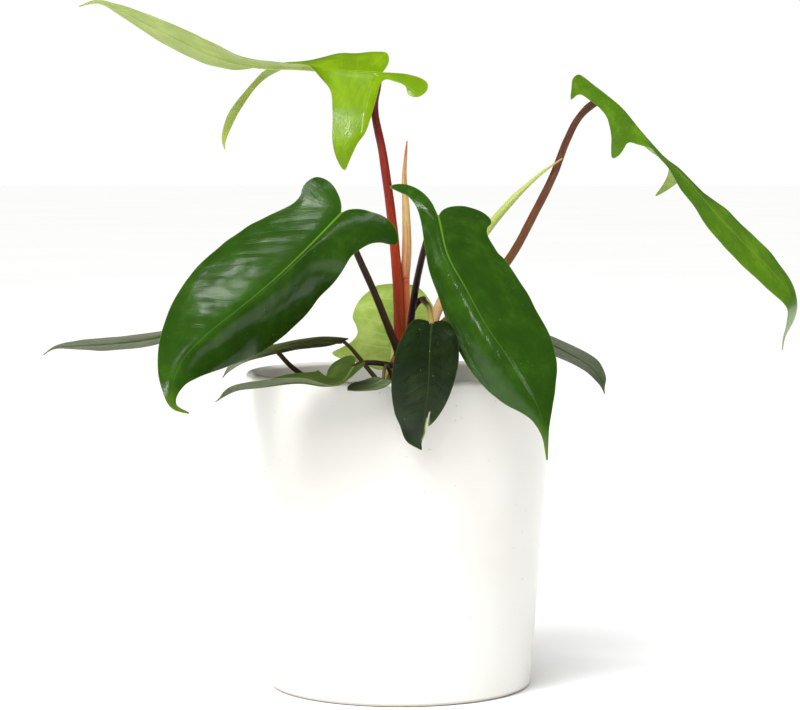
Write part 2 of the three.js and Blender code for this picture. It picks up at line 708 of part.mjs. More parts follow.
function potSolid() {
  const outer = [
    [0, 0], [potBaseRadius - 3.5, 0], [potBaseRadius - 1, 1], [potBaseRadius + .2, 3.5],
    [potRimRadius - .2, potHeight - 2.4],
    [potRimRadius - .9, potHeight - .7], [potRimRadius - 2.6, potHeight],
  ];
  const inner = [
    [potRimRadius - 3.6, potHeight], [potRimRadius - 5.1, potHeight - .8],
    [potRimRadius - potWall - .2, potHeight - 2.6], [potRadiusAt(12) - potWall, 12],
    [potRadiusAt(8) - potWall - 2, potFloor + .8], [potRadiusAt(7) - potWall - 4, potFloor],
    [0, potFloor],
  ];
  let pot = turned([...outer, ...inner], 60);
  for (let k = 0; k < drainHoleCount; k++) {
    const angle = (2 * Math.PI * (k + 0.5)) / drainHoleCount;
    const hole = Manifold.cylinder(potFloor + 4, drainHoleRadius, drainHoleRadius, 24);
    const [x, y] = [Math.cos(angle) * drainHoleOffset, Math.sin(angle) * drainHoleOffset];
    pot = pot.subtract(hole.translate([x, y, -2]));
  }
  return pot;
}

function soilHeight(x, y) {
  const coarse = Math.sin(x * 0.13 + 1.7) * Math.cos(y * 0.11 - 0.6);
  const middle = Math.sin(x * 0.31 - y * 0.23 + 2.1) + Math.cos(x * 0.19 + y * 0.37);
  const fine = Math.sin(x * 0.71 + y * 0.53) * Math.sin(y * 0.83 - x * 0.29 + 0.9);
  const mound = 2.5 * Math.exp(-(x * x + y * y) / 500);
  return soilLevel + mound + soilRelief * (0.45 * coarse + 0.25 * middle + 0.35 * fine);
}

function soilSolid() {
  const sides = 48;
  const rings = 12;
  const topRadius = potRadiusAt(soilLevel) - potWall - soilGap;
  const vertices = [new THREE.Vector3(0, 0, soilHeight(0, 0))];
  const faces = [];
  for (let ring = 1; ring <= rings; ring++) {
    for (let k = 0; k < sides; k++) {
      const angle = (2 * Math.PI * (k + (ring % 2) * 0.5)) / sides;
      const radius = ((topRadius - 0.6) * ring) / rings;
      const [x, y] = [radius * Math.cos(angle), radius * Math.sin(angle)];
      vertices.push(new THREE.Vector3(x, y, soilHeight(x, y)));
    }
  }
  const inset = potWall + soilGap;
  const wall = [
    [potRadiusAt(soilLevel - 6) - inset - .2, soilLevel - 6], [potRadiusAt(13) - inset, 13],
    [potRadiusAt(8) - inset - 2.4, potFloor + 1.2], [potRadiusAt(7) - inset - 5, potFloor + .3],
  ];
  for (const [radius, height] of wall) {
    const odd = (Math.round((vertices.length - 1) / sides) + 1) % 2;
    for (let k = 0; k < sides; k++) {
      const angle = (2 * Math.PI * (k + odd * 0.5)) / sides;
      vertices.push(new THREE.Vector3(radius * Math.cos(angle), radius * Math.sin(angle), height));
    }
  }
  const loops = rings + wall.length;
  for (let k = 0; k < sides; k++) {
    faces.push([0, 1 + k, 1 + ((k + 1) % sides)]);
  }
  for (let loop = 1; loop < loops; loop++) {
    const start = 1 + (loop - 1) * sides;
    for (let k = 0; k < sides; k++) {
      const next = (k + 1) % sides;
      const [a, b] = [start + k, start + next];
      const [c, d] = [start + sides + k, start + sides + next];
      if (loop % 2) {
        faces.push([a, c, d], [a, d, b]);
      } else {
        faces.push([a, c, b], [b, c, d]);
      }
    }
  }
  const last = 1 + (loops - 1) * sides;
  const bottom = vertices.length;
  vertices.push(new THREE.Vector3(0, 0, potFloor + 0.3));
  for (let k = 0; k < sides; k++) {
    faces.push([last + k, bottom, last + ((k + 1) % sides)]);
  }
  return manifoldFrom(vertices, faces);
}

// Assembly

const root = new THREE.Group();
root.name = "potted_philodendron";

function addMesh(name, solid, color, roughness) {
  const mesh = solid.getMesh();
  const step = mesh.numProp;
  const positions = new Float32Array(mesh.numVert * 3);
  for (let i = 0; i < mesh.numVert; i++) {
    positions.set(mesh.vertProperties.subarray(i * step, i * step + 3), i * 3);
  }
  const geometry = new THREE.BufferGeometry();
  geometry.setAttribute("position", new THREE.BufferAttribute(positions, 3));
  geometry.setIndex(new THREE.BufferAttribute(new Uint32Array(mesh.triVerts), 1));
  geometry.computeVertexNormals();
  const item = new THREE.Mesh(geometry, new THREE.MeshStandardMaterial({ color, roughness }));
  item.name = name;
  root.add(item);
}

const crownSolid = stalkSolid(crown, 0);
const crownRoom = stalkSolid(crown, seatGap);

const blades = {};
for (const [name, leaf] of Object.entries(leaves)) {
  blades[name] = bladeSolid(leaf, 0);
  if (blades[name].volume() < 0) {
    throw new Error(name + " is inside out");
  }
}

let soil = soilSolid().subtract(crownRoom);
const room = [crownRoom];
for (const [name, stalk] of Object.entries(stalks)) {
  let solid = stalkSolid(stalk, 0);
  for (const taken of room) {
    solid = solid.subtract(taken);
  }
  const leaf = leaves[name.replace("petiole_", "")];
  if (leaf) {
    solid = solid.subtract(bladeSolid(leaf, seatGap + 0.1));
  }
  addMesh(name, largest(solid), stalk.color, 0.5);
  const grown = stalkSolid(stalk, seatGap);
  room.push(grown);
  soil = soil.subtract(grown);
}

for (const [name, blade] of Object.entries(blades)) {
  addMesh("leaf_" + name, blade, leaves[name].color, 0.35);
}
addMesh("crown", crownSolid, 0x7a5a2c, 0.7);
addMesh("soil", largest(soil), 0x3f3025, 0.95);
addMesh("pot", potSolid(), 0xf1efea, 0.3);

export default root;
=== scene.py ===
import math
import random

import bmesh
import bpy
import numpy as np
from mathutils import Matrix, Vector, geometry, noise


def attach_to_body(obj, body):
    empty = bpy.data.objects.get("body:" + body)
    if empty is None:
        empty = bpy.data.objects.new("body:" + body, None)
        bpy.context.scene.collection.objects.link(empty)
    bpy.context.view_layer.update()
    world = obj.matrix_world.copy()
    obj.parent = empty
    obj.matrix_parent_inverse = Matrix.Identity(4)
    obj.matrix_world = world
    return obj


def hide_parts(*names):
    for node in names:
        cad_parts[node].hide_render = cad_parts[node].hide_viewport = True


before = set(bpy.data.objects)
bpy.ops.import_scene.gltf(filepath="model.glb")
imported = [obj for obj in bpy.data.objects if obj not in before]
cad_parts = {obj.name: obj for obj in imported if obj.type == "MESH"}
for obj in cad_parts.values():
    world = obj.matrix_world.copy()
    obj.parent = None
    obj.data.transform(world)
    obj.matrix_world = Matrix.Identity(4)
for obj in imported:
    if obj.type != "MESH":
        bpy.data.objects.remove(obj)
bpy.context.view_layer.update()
mm = 0.001  # the lengths below are millimetres unless they say otherwise
print("frame loaded:", len(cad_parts), "nodes")


def linked(name, data):
    # a new object in the scene
    made = bpy.data.objects.new(name, data)
    bpy.context.scene.collection.objects.link(made)
    return made


def attach(piece, node):
    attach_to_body(piece, "root")
    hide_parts(node)


def camel(node):
    # leaf_top_left becomes leafTopLeft
    first, *rest = node.split("_")
    return first + "".join(word.capitalize() for word in rest)


# Shader maths

def srgb(red, green, blue):
    # a colour as seen on screen, 0 to 255, in the linear numbers that shaders use
    def linear(value):
        value /= 255
        return value / 12.92 if value <= 0.04045 else ((value + 0.055) / 1.055) ** 2.4
    return (linear(red), linear(green), linear(blue), 1)


class Socket:
    # a shader value that takes part in ordinary arithmetic
    def __init__(self, maker, link):
        self.maker = maker
        self.link = link

    def math(self, operation, *values):
        return self.maker.node("ShaderNodeMath", {"operation": operation}, dict(enumerate(values)))

    def __add__(self, other):
        return self.math("ADD", self, other)

    def __radd__(self, other):
        return self.math("ADD", other, self)

    def __sub__(self, other):
        return self.math("SUBTRACT", self, other)

    def __rsub__(self, other):
        return self.math("SUBTRACT", other, self)

    def __mul__(self, other):
        return self.math("MULTIPLY", self, other)

    def __rmul__(self, other):
        return self.math("MULTIPLY", other, self)

    def __abs__(self):
        return self.math("ABSOLUTE", self)


class Maker:
    # makes one material, or a world, out of nodes
    def __init__(self, name, kind="materials"):
        self.made = getattr(bpy.data, kind).new(name)
        self.made.use_nodes = True
        self.tree = self.made.node_tree
        self.tree.nodes.clear()

    def node(self, kind, settings=None, values=None, out=0):
        made = self.tree.nodes.new(kind)
        for key, value in (settings or {}).items():
            if key == "stops":
                self.setStops(made.color_ramp, value)
            else:
                setattr(made, key, value)
        for key, value in (values or {}).items():
            if isinstance(value, Socket):
                self.tree.links.new(value.link, made.inputs[key])
            else:
                made.inputs[key].default_value = value
        return Socket(self, made.outputs[out]) if made.outputs else None

    def setStops(self, ramp, stops):
        while len(ramp.elements) < len(stops):
            ramp.elements.new(0.5)
        for element, (place, colour) in zip(ramp.elements, stops):
            element.position = place
            element.color = colour

    def step(self, value, low, high, start=0.0, end=1.0):
        # start up to low, end from high on, eased between them
        return self.node("ShaderNodeMapRange", {"interpolation_type": "SMOOTHSTEP"},
                         {0: value, 1: low, 2: high, 3: start, 4: end})

    def mix(self, factor, first, second):
        return self.node("ShaderNodeMix", {"data_type": "RGBA"}, {0: factor, 6: first, 7: second}, out=2)

    def attribute(self, name, out="Vector"):
        return self.node("ShaderNodeAttribute", {"attribute_name": name}, out=out)

    def parts(self, vector):
        split = self.node("ShaderNodeSeparateXYZ", values={0: vector})
        return [Socket(self, output) for output in split.link.node.outputs]

    def vector(self, x, y, z):
        return self.node("ShaderNodeCombineXYZ", values={0: x, 1: y, 2: z})

    def noise(self, where, scale, detail, rough):
        return self.node("ShaderNodeTexNoise", values={
            "Vector": where, "Scale": scale, "Detail": detail, "Roughness": rough})

    def cells(self, where, scale):
        # the distance to the nearest of many scattered points
        return self.node("ShaderNodeTexVoronoi", values={"Vector": where, "Scale": scale}, out="Distance")

    def ramp(self, value, stops):
        return self.node("ShaderNodeValToRGB", {"stops": stops}, {0: value})

    def bump(self, height, strength, depth):
        return self.node("ShaderNodeBump", values={
            "Strength": strength, "Distance": depth, "Height": height})

    def place(self):
        return self.node("ShaderNodeTexCoord", out="Object")

    def sky(self, strength):
        return self.node("ShaderNodeBackground", values={"Color": (1, 1, 1, 1), "Strength": strength})

    def finish(self, values):
        shader = self.node("ShaderNodeBsdfPrincipled", values=values)
        self.node("ShaderNodeOutputMaterial", values={"Surface": shader})
        return self.made


# Camera and light

view = {
    "distance": 1600,
    "height": 189,        # the point looked at, above the floor
    "elevation": 4,       # degrees
    "imageWidth": 800,    # pixels
    "focal": 2800,        # pixels
    "sensor": 36,
    "farthest": 100,      # m
}

light = {
    "seenSky": 1.0,       # brightness behind the plant
    "softSky": 0.5,       # brightness that lights matt surfaces
    "mirroredSky": 0.05,  # brightness that glossy surfaces mirror
    "sun": 2.5,
    "sunSpread": 45,      # degrees
    "sunTurn": (42, 0, -28),
    "lamps": [
        # name, place, width and height in m, watts, whether glossy surfaces mirror it
        ("keyLight", (-1.1, -1.5, 2.2), 0.9, 0.7, 28, False),
        ("overhead", (-0.76, -0.02, 2.3), 0.18, 0.18, 2.4, True),
        ("leftGlint", (-1.0, -0.95, 1.9), 0.16, 0.3, 1.4, True),
        ("rightGlint", (1.05, -1.14, 1.5), 0.22, 0.22, 1.5, True),
        ("tipGlint", (-0.98, -1.18, 0.83), 0.12, 0.2, 2.0, True),
        ("lowGlint", (-1.5, -0.5, 1.1), 0.3, 0.5, 1.2, True),
        ("sideLight", (-1.7, -2.1, 1.1), 0.3, 0.4, 1.1, True),
        ("fillLight", (2.0, -1.6, 1.0), 1.0, 1.6, 8, False),
        ("topLight", (0.1, 0.5, 2.4), 1.8, 1.4, 14, False),
    ],
    "aim": (0.0, 0.0, 0.24),  # where every lamp points, in m
}


def makeCamera():
    tilt = math.radians(view["elevation"])
    data = bpy.data.cameras.new("camera")
    data.sensor_width = view["sensor"]
    data.lens = view["focal"] / view["imageWidth"] * view["sensor"]
    data.clip_end = view["farthest"]
    camera = linked("camera", data)
    away = view["distance"] * mm
    camera.location = (0, -away * math.cos(tilt), view["height"] * mm + away * math.sin(tilt))
    camera.rotation_euler = (math.pi / 2 - tilt, 0, 0)
    bpy.context.scene.camera = camera


def makeLamps():
    aim = Vector(light["aim"])
    for name, place, width, height, watts, mirrored in light["lamps"]:
        data = bpy.data.lights.new(name, "AREA")
        data.shape = "RECTANGLE"
        data.size, data.size_y = width, height
        data.energy = watts
        lamp = linked(name, data)
        lamp.visible_glossy = mirrored
        lamp.location = place
        lamp.rotation_euler = (aim - Vector(place)).to_track_quat("-Z", "Y").to_euler()


def makeSun():
    # even light as far as the horizon, without a mirrored disc on the leaves
    data = bpy.data.lights.new("sun", "SUN")
    data.energy = light["sun"]
    data.angle = math.radians(light["sunSpread"])
    lamp = linked("sun", data)
    lamp.rotation_euler = [math.radians(turn) for turn in light["sunTurn"]]
    lamp.visible_glossy = False


def makeSky():
    # white, with a brightness of its own for glossy surfaces and for the camera
    make = Maker("studio", "worlds")
    shown = make.sky(light["softSky"])
    for ray, strength in (("Is Glossy Ray", light["mirroredSky"]), ("Is Camera Ray", light["seenSky"])):
        chosen = make.node("ShaderNodeLightPath", out=ray)
        shown = make.node("ShaderNodeMixShader", values={0: chosen, 1: shown, 2: make.sky(strength)})
    make.node("ShaderNodeOutputWorld", values={"Surface": shown})
    bpy.context.scene.world = make.made


makeCamera()
makeLamps()
makeSun()
makeSky()
bpy.context.scene.view_settings.view_transform = "Standard"
print("camera and light made")


# Paths and eased rows

class Path:
    # a centripetal spline through points, measured along its length
    perSpan = 120  # samples from point to point
    stride = 0.4   # the length that a direction is taken over

    def __init__(self, points):
        points = np.array(points, float)
        around = np.vstack([2 * points[0] - points[1], points, 2 * points[-1] - points[-2]])
        share = np.linspace(0, 1, self.perSpan, endpoint=False)[:, None]
        spans = []
        for p0, p1, p2, p3 in zip(around, around[1:], around[2:], around[3:]):
            pairs = ((p0, p1), (p1, p2), (p2, p3))
            d0, d1, d2 = (max(math.sqrt(math.dist(a, b)), 1e-4) for a, b in pairs)
            t1 = ((p1 - p0) / d0 - (p2 - p0) / (d0 + d1) + (p2 - p1) / d1) * d1
            t2 = ((p2 - p1) / d1 - (p3 - p1) / (d1 + d2) + (p3 - p2) / d2) * d1
            square = -3 * p1 + 3 * p2 - 2 * t1 - t2
            cube = 2 * p1 - 2 * p2 + t1 + t2
            spans.append(p1 + t1 * share + square * share ** 2 + cube * share ** 3)
        self.samples = np.vstack([*spans, points[-1:]])
        steps = np.linalg.norm(np.diff(self.samples, axis=0), axis=1)
        self.reached = np.concatenate([[0], np.cumsum(steps)])
        self.length = self.reached[-1]
        self.knots = self.reached[::self.perSpan]

    def at(self, distances):
        # carries on straight past both ends
        distances = np.asarray(distances, float)
        inside = np.clip(distances, 0, self.length)
        return self.sampled(inside) + self.tangents(inside) * (distances - inside)[..., None]

    def sampled(self, distances):
        return np.stack([np.interp(distances, self.reached, axis) for axis in self.samples.T], -1)

    def tangents(self, distances):
        start = np.clip(np.asarray(distances, float) - self.stride / 2, 0, self.length - self.stride)
        return unit(self.sampled(start + self.stride) - self.sampled(start))


def unit(vectors):
    return vectors / np.maximum(np.linalg.norm(vectors, axis=-1, keepdims=True), 1e-9)


def eased(rows, places):
    # the rows' values at the places, smoothly stepped from row to row
    rows = np.array(rows, float)
    places = np.asarray(places, float)
    if len(rows) == 1:
        return np.broadcast_to(rows[0, 1:], (*places.shape, rows.shape[1] - 1))
    before = np.clip(np.searchsorted(rows[:, 0], places, "right") - 1, 0, len(rows) - 2)
    start, end = rows[before], rows[before + 1]
    share = np.clip((places - start[..., 0]) / (end[..., 0] - start[..., 0]), 0, 1)
    share = (share * share * (3 - 2 * share))[..., None]
    return start[..., 1:] + (end[..., 1:] - start[..., 1:]) * share


def smoothed(values, width):
    # a bell-shaped running mean over rows, width in rows
    reach = int(3 * width)
    bell = np.exp(-0.5 * (np.arange(-reach, reach + 1) / width) ** 2)
    bell /= bell.sum()
    padded = np.vstack([np.repeat(values[:1], reach, 0), values, np.repeat(values[-1:], reach, 0)])
    return np.stack([np.convolve(axis, bell, "valid") for axis in padded.T], -1)


def ease(low, high, values):
    share = np.clip((values - low) / (high - low), 0, 1)
    return share * share * (3 - 2 * share)


def noiseAt(places, seed):
    # smooth noise from -1 to 1 at each row of places
    return np.array([noise.noise(Vector(place) + Vector((seed, 0.37 * seed, 1.7))) for place in places])


# Leaf blades

blade = {
    "spacing": 1.7,             # between the points of the fine mesh
    "besideRib": (0, 0.45, 0.9, 1.5, 2.5),  # the rows of points beside the midrib
    "firstRow": 3.8,            # the next row, where the even mesh starts
    "thickness": 0.55,
    "edgeThickness": 0.3,
    "thinning": 6,              # how far from its edge the blade has its full thickness
    "frameStep": 0.5,           # between the places where the midrib's directions are kept
    "frameSmooth": 6.0,         # in such steps
    "middleSmooth": 2.0,        # in such steps
    "overrun": 0.3,             # how far they go on past the midrib, in blade lengths
    "crease": 1.6,              # how far from the midrib a fold is rounded
    "skinTurn": 2.2,            # how far from the midrib the two skins turn with the fold
    "fanSpread": 0.10,          # how fast the side veins fan out in the lobes behind the stalk
    "veinWander": 0.22,         # in gaps from vein to vein
    "veinRidge": 0.12,
    "veinWidth": 0.6,
    "waves": ((34, 0.9, 0), (13, 0.35, 5)),  # length, height and seed of each
    "ripple": 0.35,             # of the edge
    "rippleLength": 11,
    "rippleReach": 7,           # how far in from the edge it goes
    "fullLength": 120,          # shorter blades have a finer midrib
    "groove": 0.42,             # along the midrib, on top
    "grooveWidth": 0.9,
    "rib": 2.3,                 # below, at the stalk
    "ribTip": 0.3,
    "ribWidth": 1.75,
    "ribNarrowing": 1.25,
    "ribAtEdge": 1.1,           # at most, where the outline crosses it
}

# outlines from the stalk to the tip: along and out from the midrib, in blade lengths
plainEdge = [
    (0, 0), (-.045, .018), (-.105, .055), (-.14, .115), (-.135, .175), (-.09, .215), (-.02, .215),
    (.06, .195), (.14, .195), (.26, .225), (.4, .25), (.55, .245), (.7, .205), (.82, .14),
    (.9, .072), (.945, .026), (.975, .009), (1, .003),
]
ovalEdge = [
    (0, 0), (-.035, .03), (-.045, .09), (-.02, .16), (.06, .215), (.2, .25), (.38, .27),
    (.55, .265), (.7, .225), (.82, .16), (.9, .09), (.95, .035), (.98, .012), (1, .003),
]
bluntEdge = [
    (0, 0), (-.012, .03), (-.005, .09), (.04, .16), (.1, .21), (.2, .245),
    (.38, .27), (.55, .265), (.7, .225), (.82, .16), (.9, .09), (.95, .035), (.98, .012), (1, .003),
]


class BladeForm:
    # where a leaf's flat coordinates lie in space: along and out in blade lengths
    def __init__(self, leaf):
        self.leaf = leaf
        path = Path(leaf["midrib"])
        self.start = path.knots[1]
        self.length = path.length - self.start
        margin = blade["overrun"] * self.length
        self.marks = np.arange(-margin, path.length + margin, blade["frameStep"])
        held = np.clip(self.marks, 0, path.length)
        tangents = unit(smoothed(path.tangents(held), blade["frameSmooth"]))
        faces = leaf["faces"] * (len(path.knots) if len(leaf["faces"]) == 1 else 1)
        ups = eased(np.column_stack([path.knots, faces]), self.marks)
        ups = smoothed(ups, blade["frameSmooth"])
        ups = unit(ups - tangents * (ups * tangents).sum(-1, keepdims=True))
        self.ups, self.sides = ups, np.cross(tangents, ups)
        self.middles = smoothed(path.at(self.marks), blade["middleSmooth"])

    def rowOf(self, table, distances):
        return np.stack([np.interp(distances, self.marks, axis) for axis in table.T], -1)

    def place(self, along, out, lift):
        distances = self.start + along * self.length
        ups, sides = self.rowOf(self.ups, distances), self.rowOf(self.sides, distances)
        right, left = eased(self.leaf["rightBend"], along), eased(self.leaf["leftBend"], along)
        bend = np.where((out >= 0)[:, None], right, left)
        reach = np.abs(out) * self.length
        # a fold at the midrib, then a curl that goes on at so much for each quarter of the length
        fold = np.radians(bend[:, 0])
        rate = np.radians(bend[:, 1]) / (0.25 * self.length)
        rate = np.where(np.abs(rate) < 1e-6, 1e-6, rate)
        turned = fold + rate * reach
        across = (np.sin(turned) - np.sin(fold)) / rate
        rise = (np.cos(fold) - np.cos(turned)) / rate
        softened = blade["crease"] * (1 - np.exp(-reach / blade["crease"]))
        across = across + (1 - np.cos(fold)) * softened
        rise = rise - np.sin(fold) * softened
        tilt = turned * (1 - np.exp(-(reach / blade["skinTurn"]) ** 2))
        sign = np.where(out >= 0, 1, -1)
        points = self.rowOf(self.middles, distances)
        points = points + sides * (sign * (across - lift * np.sin(tilt)))[:, None]
        return points + ups * (rise + lift * np.cos(tilt))[:, None]


def sampleEdge(edge, step):
    path = Path([(along, out, 0) for along, out in edge])
    points = path.at(np.linspace(0, path.length, max(8, round(path.length / step))))[:, :2]
    points[1:, 1] = np.maximum(points[1:, 1], 0.0012)
    return points


def isInside(outline, points):
    inside = np.zeros(len(points), bool)
    x, y = points.T
    for (ax, ay), (bx, by) in zip(outline, np.roll(outline, -1, 0)):
        crosses = (ay > y) != (by > y)
        inside ^= crosses & (x < (bx - ax) * (y - ay) / (by - ay if by != ay else 1) + ax)
    return inside


def edgeDistance(outline, points):
    least = np.full(len(points), 9.0)
    for a, b in zip(outline, np.roll(outline, -1, 0)):
        run = b - a
        share = np.clip(((points - a) @ run) / max(run @ run, 1e-12), 0, 1)
        least = np.minimum(least, np.linalg.norm(points - a - share[:, None] * run, axis=1))
    return least


def flatBlade(leaf, length):
    # the flat leaf's points, its triangles and how many of the points are its outline
    step = blade["spacing"] / length
    right = sampleEdge(leaf["rightEdge"], step * 0.8)
    left = sampleEdge(leaf["leftEdge"], step * 0.8) * (1, -1)
    outline = np.vstack([right, left[:0:-1]])
    # close rows of points along the midrib
    rows = []
    for out in blade["besideRib"]:
        along = np.arange(0, 1, step * (0.75 if out < 2 else 0.9)) + 0.3 * step * (out > 0)
        for sign in ((1,) if out == 0 else (1, -1)):
            rows.append(np.column_stack([along, np.full(len(along), sign * out / length)]))
    ribs = np.vstack(rows)
    ribs = ribs[isInside(outline, ribs)]
    clear = 0.35 * step * np.minimum(1, 0.3 + np.abs(ribs[:, 1]) * length)
    ribs = ribs[edgeDistance(outline, ribs) > clear]
    # rows of even triangles over the rest
    field = []
    for row, out in enumerate(np.arange(blade["firstRow"] / length, 0.55, step * 0.866)):
        along = np.arange(-0.32, 1, step) + 0.5 * step * (row % 2)
        field += [np.column_stack([along, np.full(len(along), sign * out)]) for sign in (1, -1)]
    field = np.vstack(field)
    field = field[isInside(outline, field)]
    field = field[edgeDistance(outline, field) > 0.6 * step]
    points = np.vstack([outline, ribs, field])
    count = len(outline)
    ring = [(i, (i + 1) % count) for i in range(count)]
    corners = [Vector(point) for point in points]
    made = geometry.delaunay_2d_cdt(corners, ring, [list(range(count))[::-1]], 1, 1e-7)
    if len(made[0]) != len(points):
        raise SystemExit("a leaf's flat points changed while they were joined")
    triangles = np.array([face if cross(points, face) > 0 else face[::-1] for face in made[2]])
    return points, triangles, count


def cross(points, face):
    a, b, c = points[face[0]], points[face[1]], points[face[2]]
    return (b[0] - a[0]) * (c[1] - a[1]) - (b[1] - a[1]) * (c[0] - a[0])


def veinField(leaf, along, out):
    # a coordinate that grows by 1 from one side vein to the next, and the gap between them
    lean, sweep, spacing = leaf["veins"]
    reach = np.abs(out)
    radius = np.hypot(along, reach)
    coordinate = along - (lean * reach + sweep * reach ** 2)
    # where the first side vein is as far from the stalk as the point is
    edgeReach = radius.copy()
    for _ in range(6):
        edgeReach = radius / np.sqrt(1 + (lean + sweep * edgeReach) ** 2)
    firstAngle = np.arctan2(1, lean + sweep * edgeReach)
    fan = -blade["fanSpread"] * (np.arctan2(reach, along) - firstAngle)
    behind = coordinate < 0
    coordinate = np.where(behind, fan, coordinate) / spacing
    gap = np.where(behind, radius / blade["fanSpread"], 1) * spacing
    places = np.column_stack([coordinate * 0.9, np.sign(out) * 3, reach * 4])
    coordinate = coordinate + blade["veinWander"] * noiseAt(places, leaf["seed"])
    coordinate = coordinate + np.where(out < 0, 0.5, 0)
    return coordinate, gap


def setVectors(mesh, name, values):
    attribute = mesh.attributes.new(name, "FLOAT_VECTOR", "POINT")
    attribute.data.foreach_set("vector", np.asarray(values, np.float32).ravel())


def bladeRelief(leaf, length, along, out, edge, coordinate, gap):
    # how high the upper and the lower skin lie over the blade's smooth middle surface
    reach = np.abs(out) * length
    share = np.clip(along, 0, 1)
    size = min(1, length / blade["fullLength"])
    # the blade swells between the side veins
    toVein = np.abs(coordinate - np.floor(coordinate) - 0.5) * gap
    strength = ease(0, 0.16 * length, edge) * ease(0.5, 5, reach)
    quilt = leaf["relief"] * strength * (0.4 - np.exp(-(toVein / (0.17 * gap + 0.3)) ** 2))
    # broad waves, and a ripple along the edge
    flat = np.column_stack([along, out, np.zeros(len(along))]) * length
    waves = sum(height * noiseAt(flat / long, leaf["seed"] + seed) for long, height, seed in blade["waves"])
    waves = waves * leaf["waves"] * ease(2, 22, reach)
    ripple = noiseAt(flat / blade["rippleLength"], leaf["seed"] + 9) * np.exp(-edge / blade["rippleReach"])
    ripple = ripple * leaf.get("ripple", blade["ripple"]) * ease(2, 12, reach)
    middle = quilt + waves + ripple
    # the midrib, a groove above and a tapering rib below
    groove = blade["groove"] * size * (1 - 0.8 * share)
    groove = groove * np.exp(-(reach / (blade["grooveWidth"] * size)) ** 2) * ease(-0.5, 2, along * length)
    ribWidth = size * (blade["ribWidth"] - blade["ribNarrowing"] * share)
    rib = size * (blade["rib"] * (1 - share) ** 1.3 + blade["ribTip"]) * ease(-1.5, 1, along * length)
    rib = rib * np.exp(-(reach / ribWidth) ** 2)
    rib = np.where(edge > 0, rib, np.minimum(rib, blade["ribAtEdge"] * size))
    # side veins that stand out below, and a thin edge
    ridge = blade["veinRidge"] * strength * np.exp(-(toVein / blade["veinWidth"]) ** 2)
    thicker = (blade["thickness"] - blade["edgeThickness"]) * ease(0, blade["thinning"], edge)
    half = 0.5 * (blade["edgeThickness"] + thicker)
    return middle + half - groove, middle - half - rib - ridge


def makeBlade(node, leaf, upperSkin, underSkin):
    form = BladeForm(leaf)
    length = form.length
    points, triangles, rim = flatBlade(leaf, length)
    along, out = points.T
    edge = edgeDistance(points[:rim], points) * length
    edge[:rim] = 0
    coordinate, gap = veinField(leaf, along, out)
    gap = gap * length
    above, below = bladeRelief(leaf, length, along, out, edge, coordinate, gap)
    skins = np.vstack([form.place(along, out, above), form.place(along, out, below)])
    count = len(points)
    faces = [(a, c, b) for a, b, c in triangles.tolist()]
    faces += [(count + a, count + b, count + c) for a, b, c in triangles.tolist()]
    sides = [((i + 1) % rim, i, count + i, count + (i + 1) % rim) for i in range(rim)]
    mesh = bpy.data.meshes.new(camel(node))
    mesh.from_pydata((skins * mm).tolist(), [], faces + sides)
    mesh.materials.append(upperSkin)
    mesh.materials.append(underSkin)
    shown = [0] * len(triangles) + [1] * len(triangles) + [0] * rim
    mesh.polygons.foreach_set("material_index", shown)
    mesh.polygons.foreach_set("use_smooth", [True] * len(shown))
    place = np.column_stack([along * length, out * length, edge])
    setVectors(mesh, "leafPlace", np.tile(place, (2, 1)))
    setVectors(mesh, "leafVein", np.tile(np.column_stack([coordinate, gap, np.clip(along, 0, 1)]), (2, 1)))
    keepRimSharp(mesh, count, rim)
    mesh.validate()
    attach(linked(camel(node), mesh), node)
    print("leaf made:", node, len(faces) + 2 * rim, "triangles, blade", round(length), "mm long")


def keepRimSharp(mesh, count, rim):
    # the outline's edges on both skins
    sharp = mesh.attributes.new("sharp_edge", "BOOLEAN", "EDGE")
    corners = np.array([edge.vertices[:] for edge in mesh.edges])
    onRim = (corners < rim).all(1) | ((corners >= count) & (corners < count + rim)).all(1)
    between = np.abs(corners[:, 0] - corners[:, 1])
    sharp.data.foreach_set("value", onRim & ((between == 1) | (between == rim - 1)))


plainLeaf = {
    # what a skin has unless its own look says otherwise
    "veinWidth": 0.45, "veinStrength": 0.12, "veinShade": 0.12, "ribWidth": 1.0, "ribAmount": 0.9,
    "marginAmount": 0.7, "tipAmount": 0.6, "lightAmount": 0.5, "dust": 0.45,
    "dustColour": srgb(176, 188, 150), "bump": 0.22, "specular": 0.5,
}
leafPattern = {
    # how often a pattern repeats in a cm, its detail and its roughness
    "clouds": (0.62, 3, 0.55), "mottle": (2.4, 4, 0.62), "grain": (9, 2, 0.5), "dusty": (1.7, 2, 0.5),
    "specks": 3.1,
}


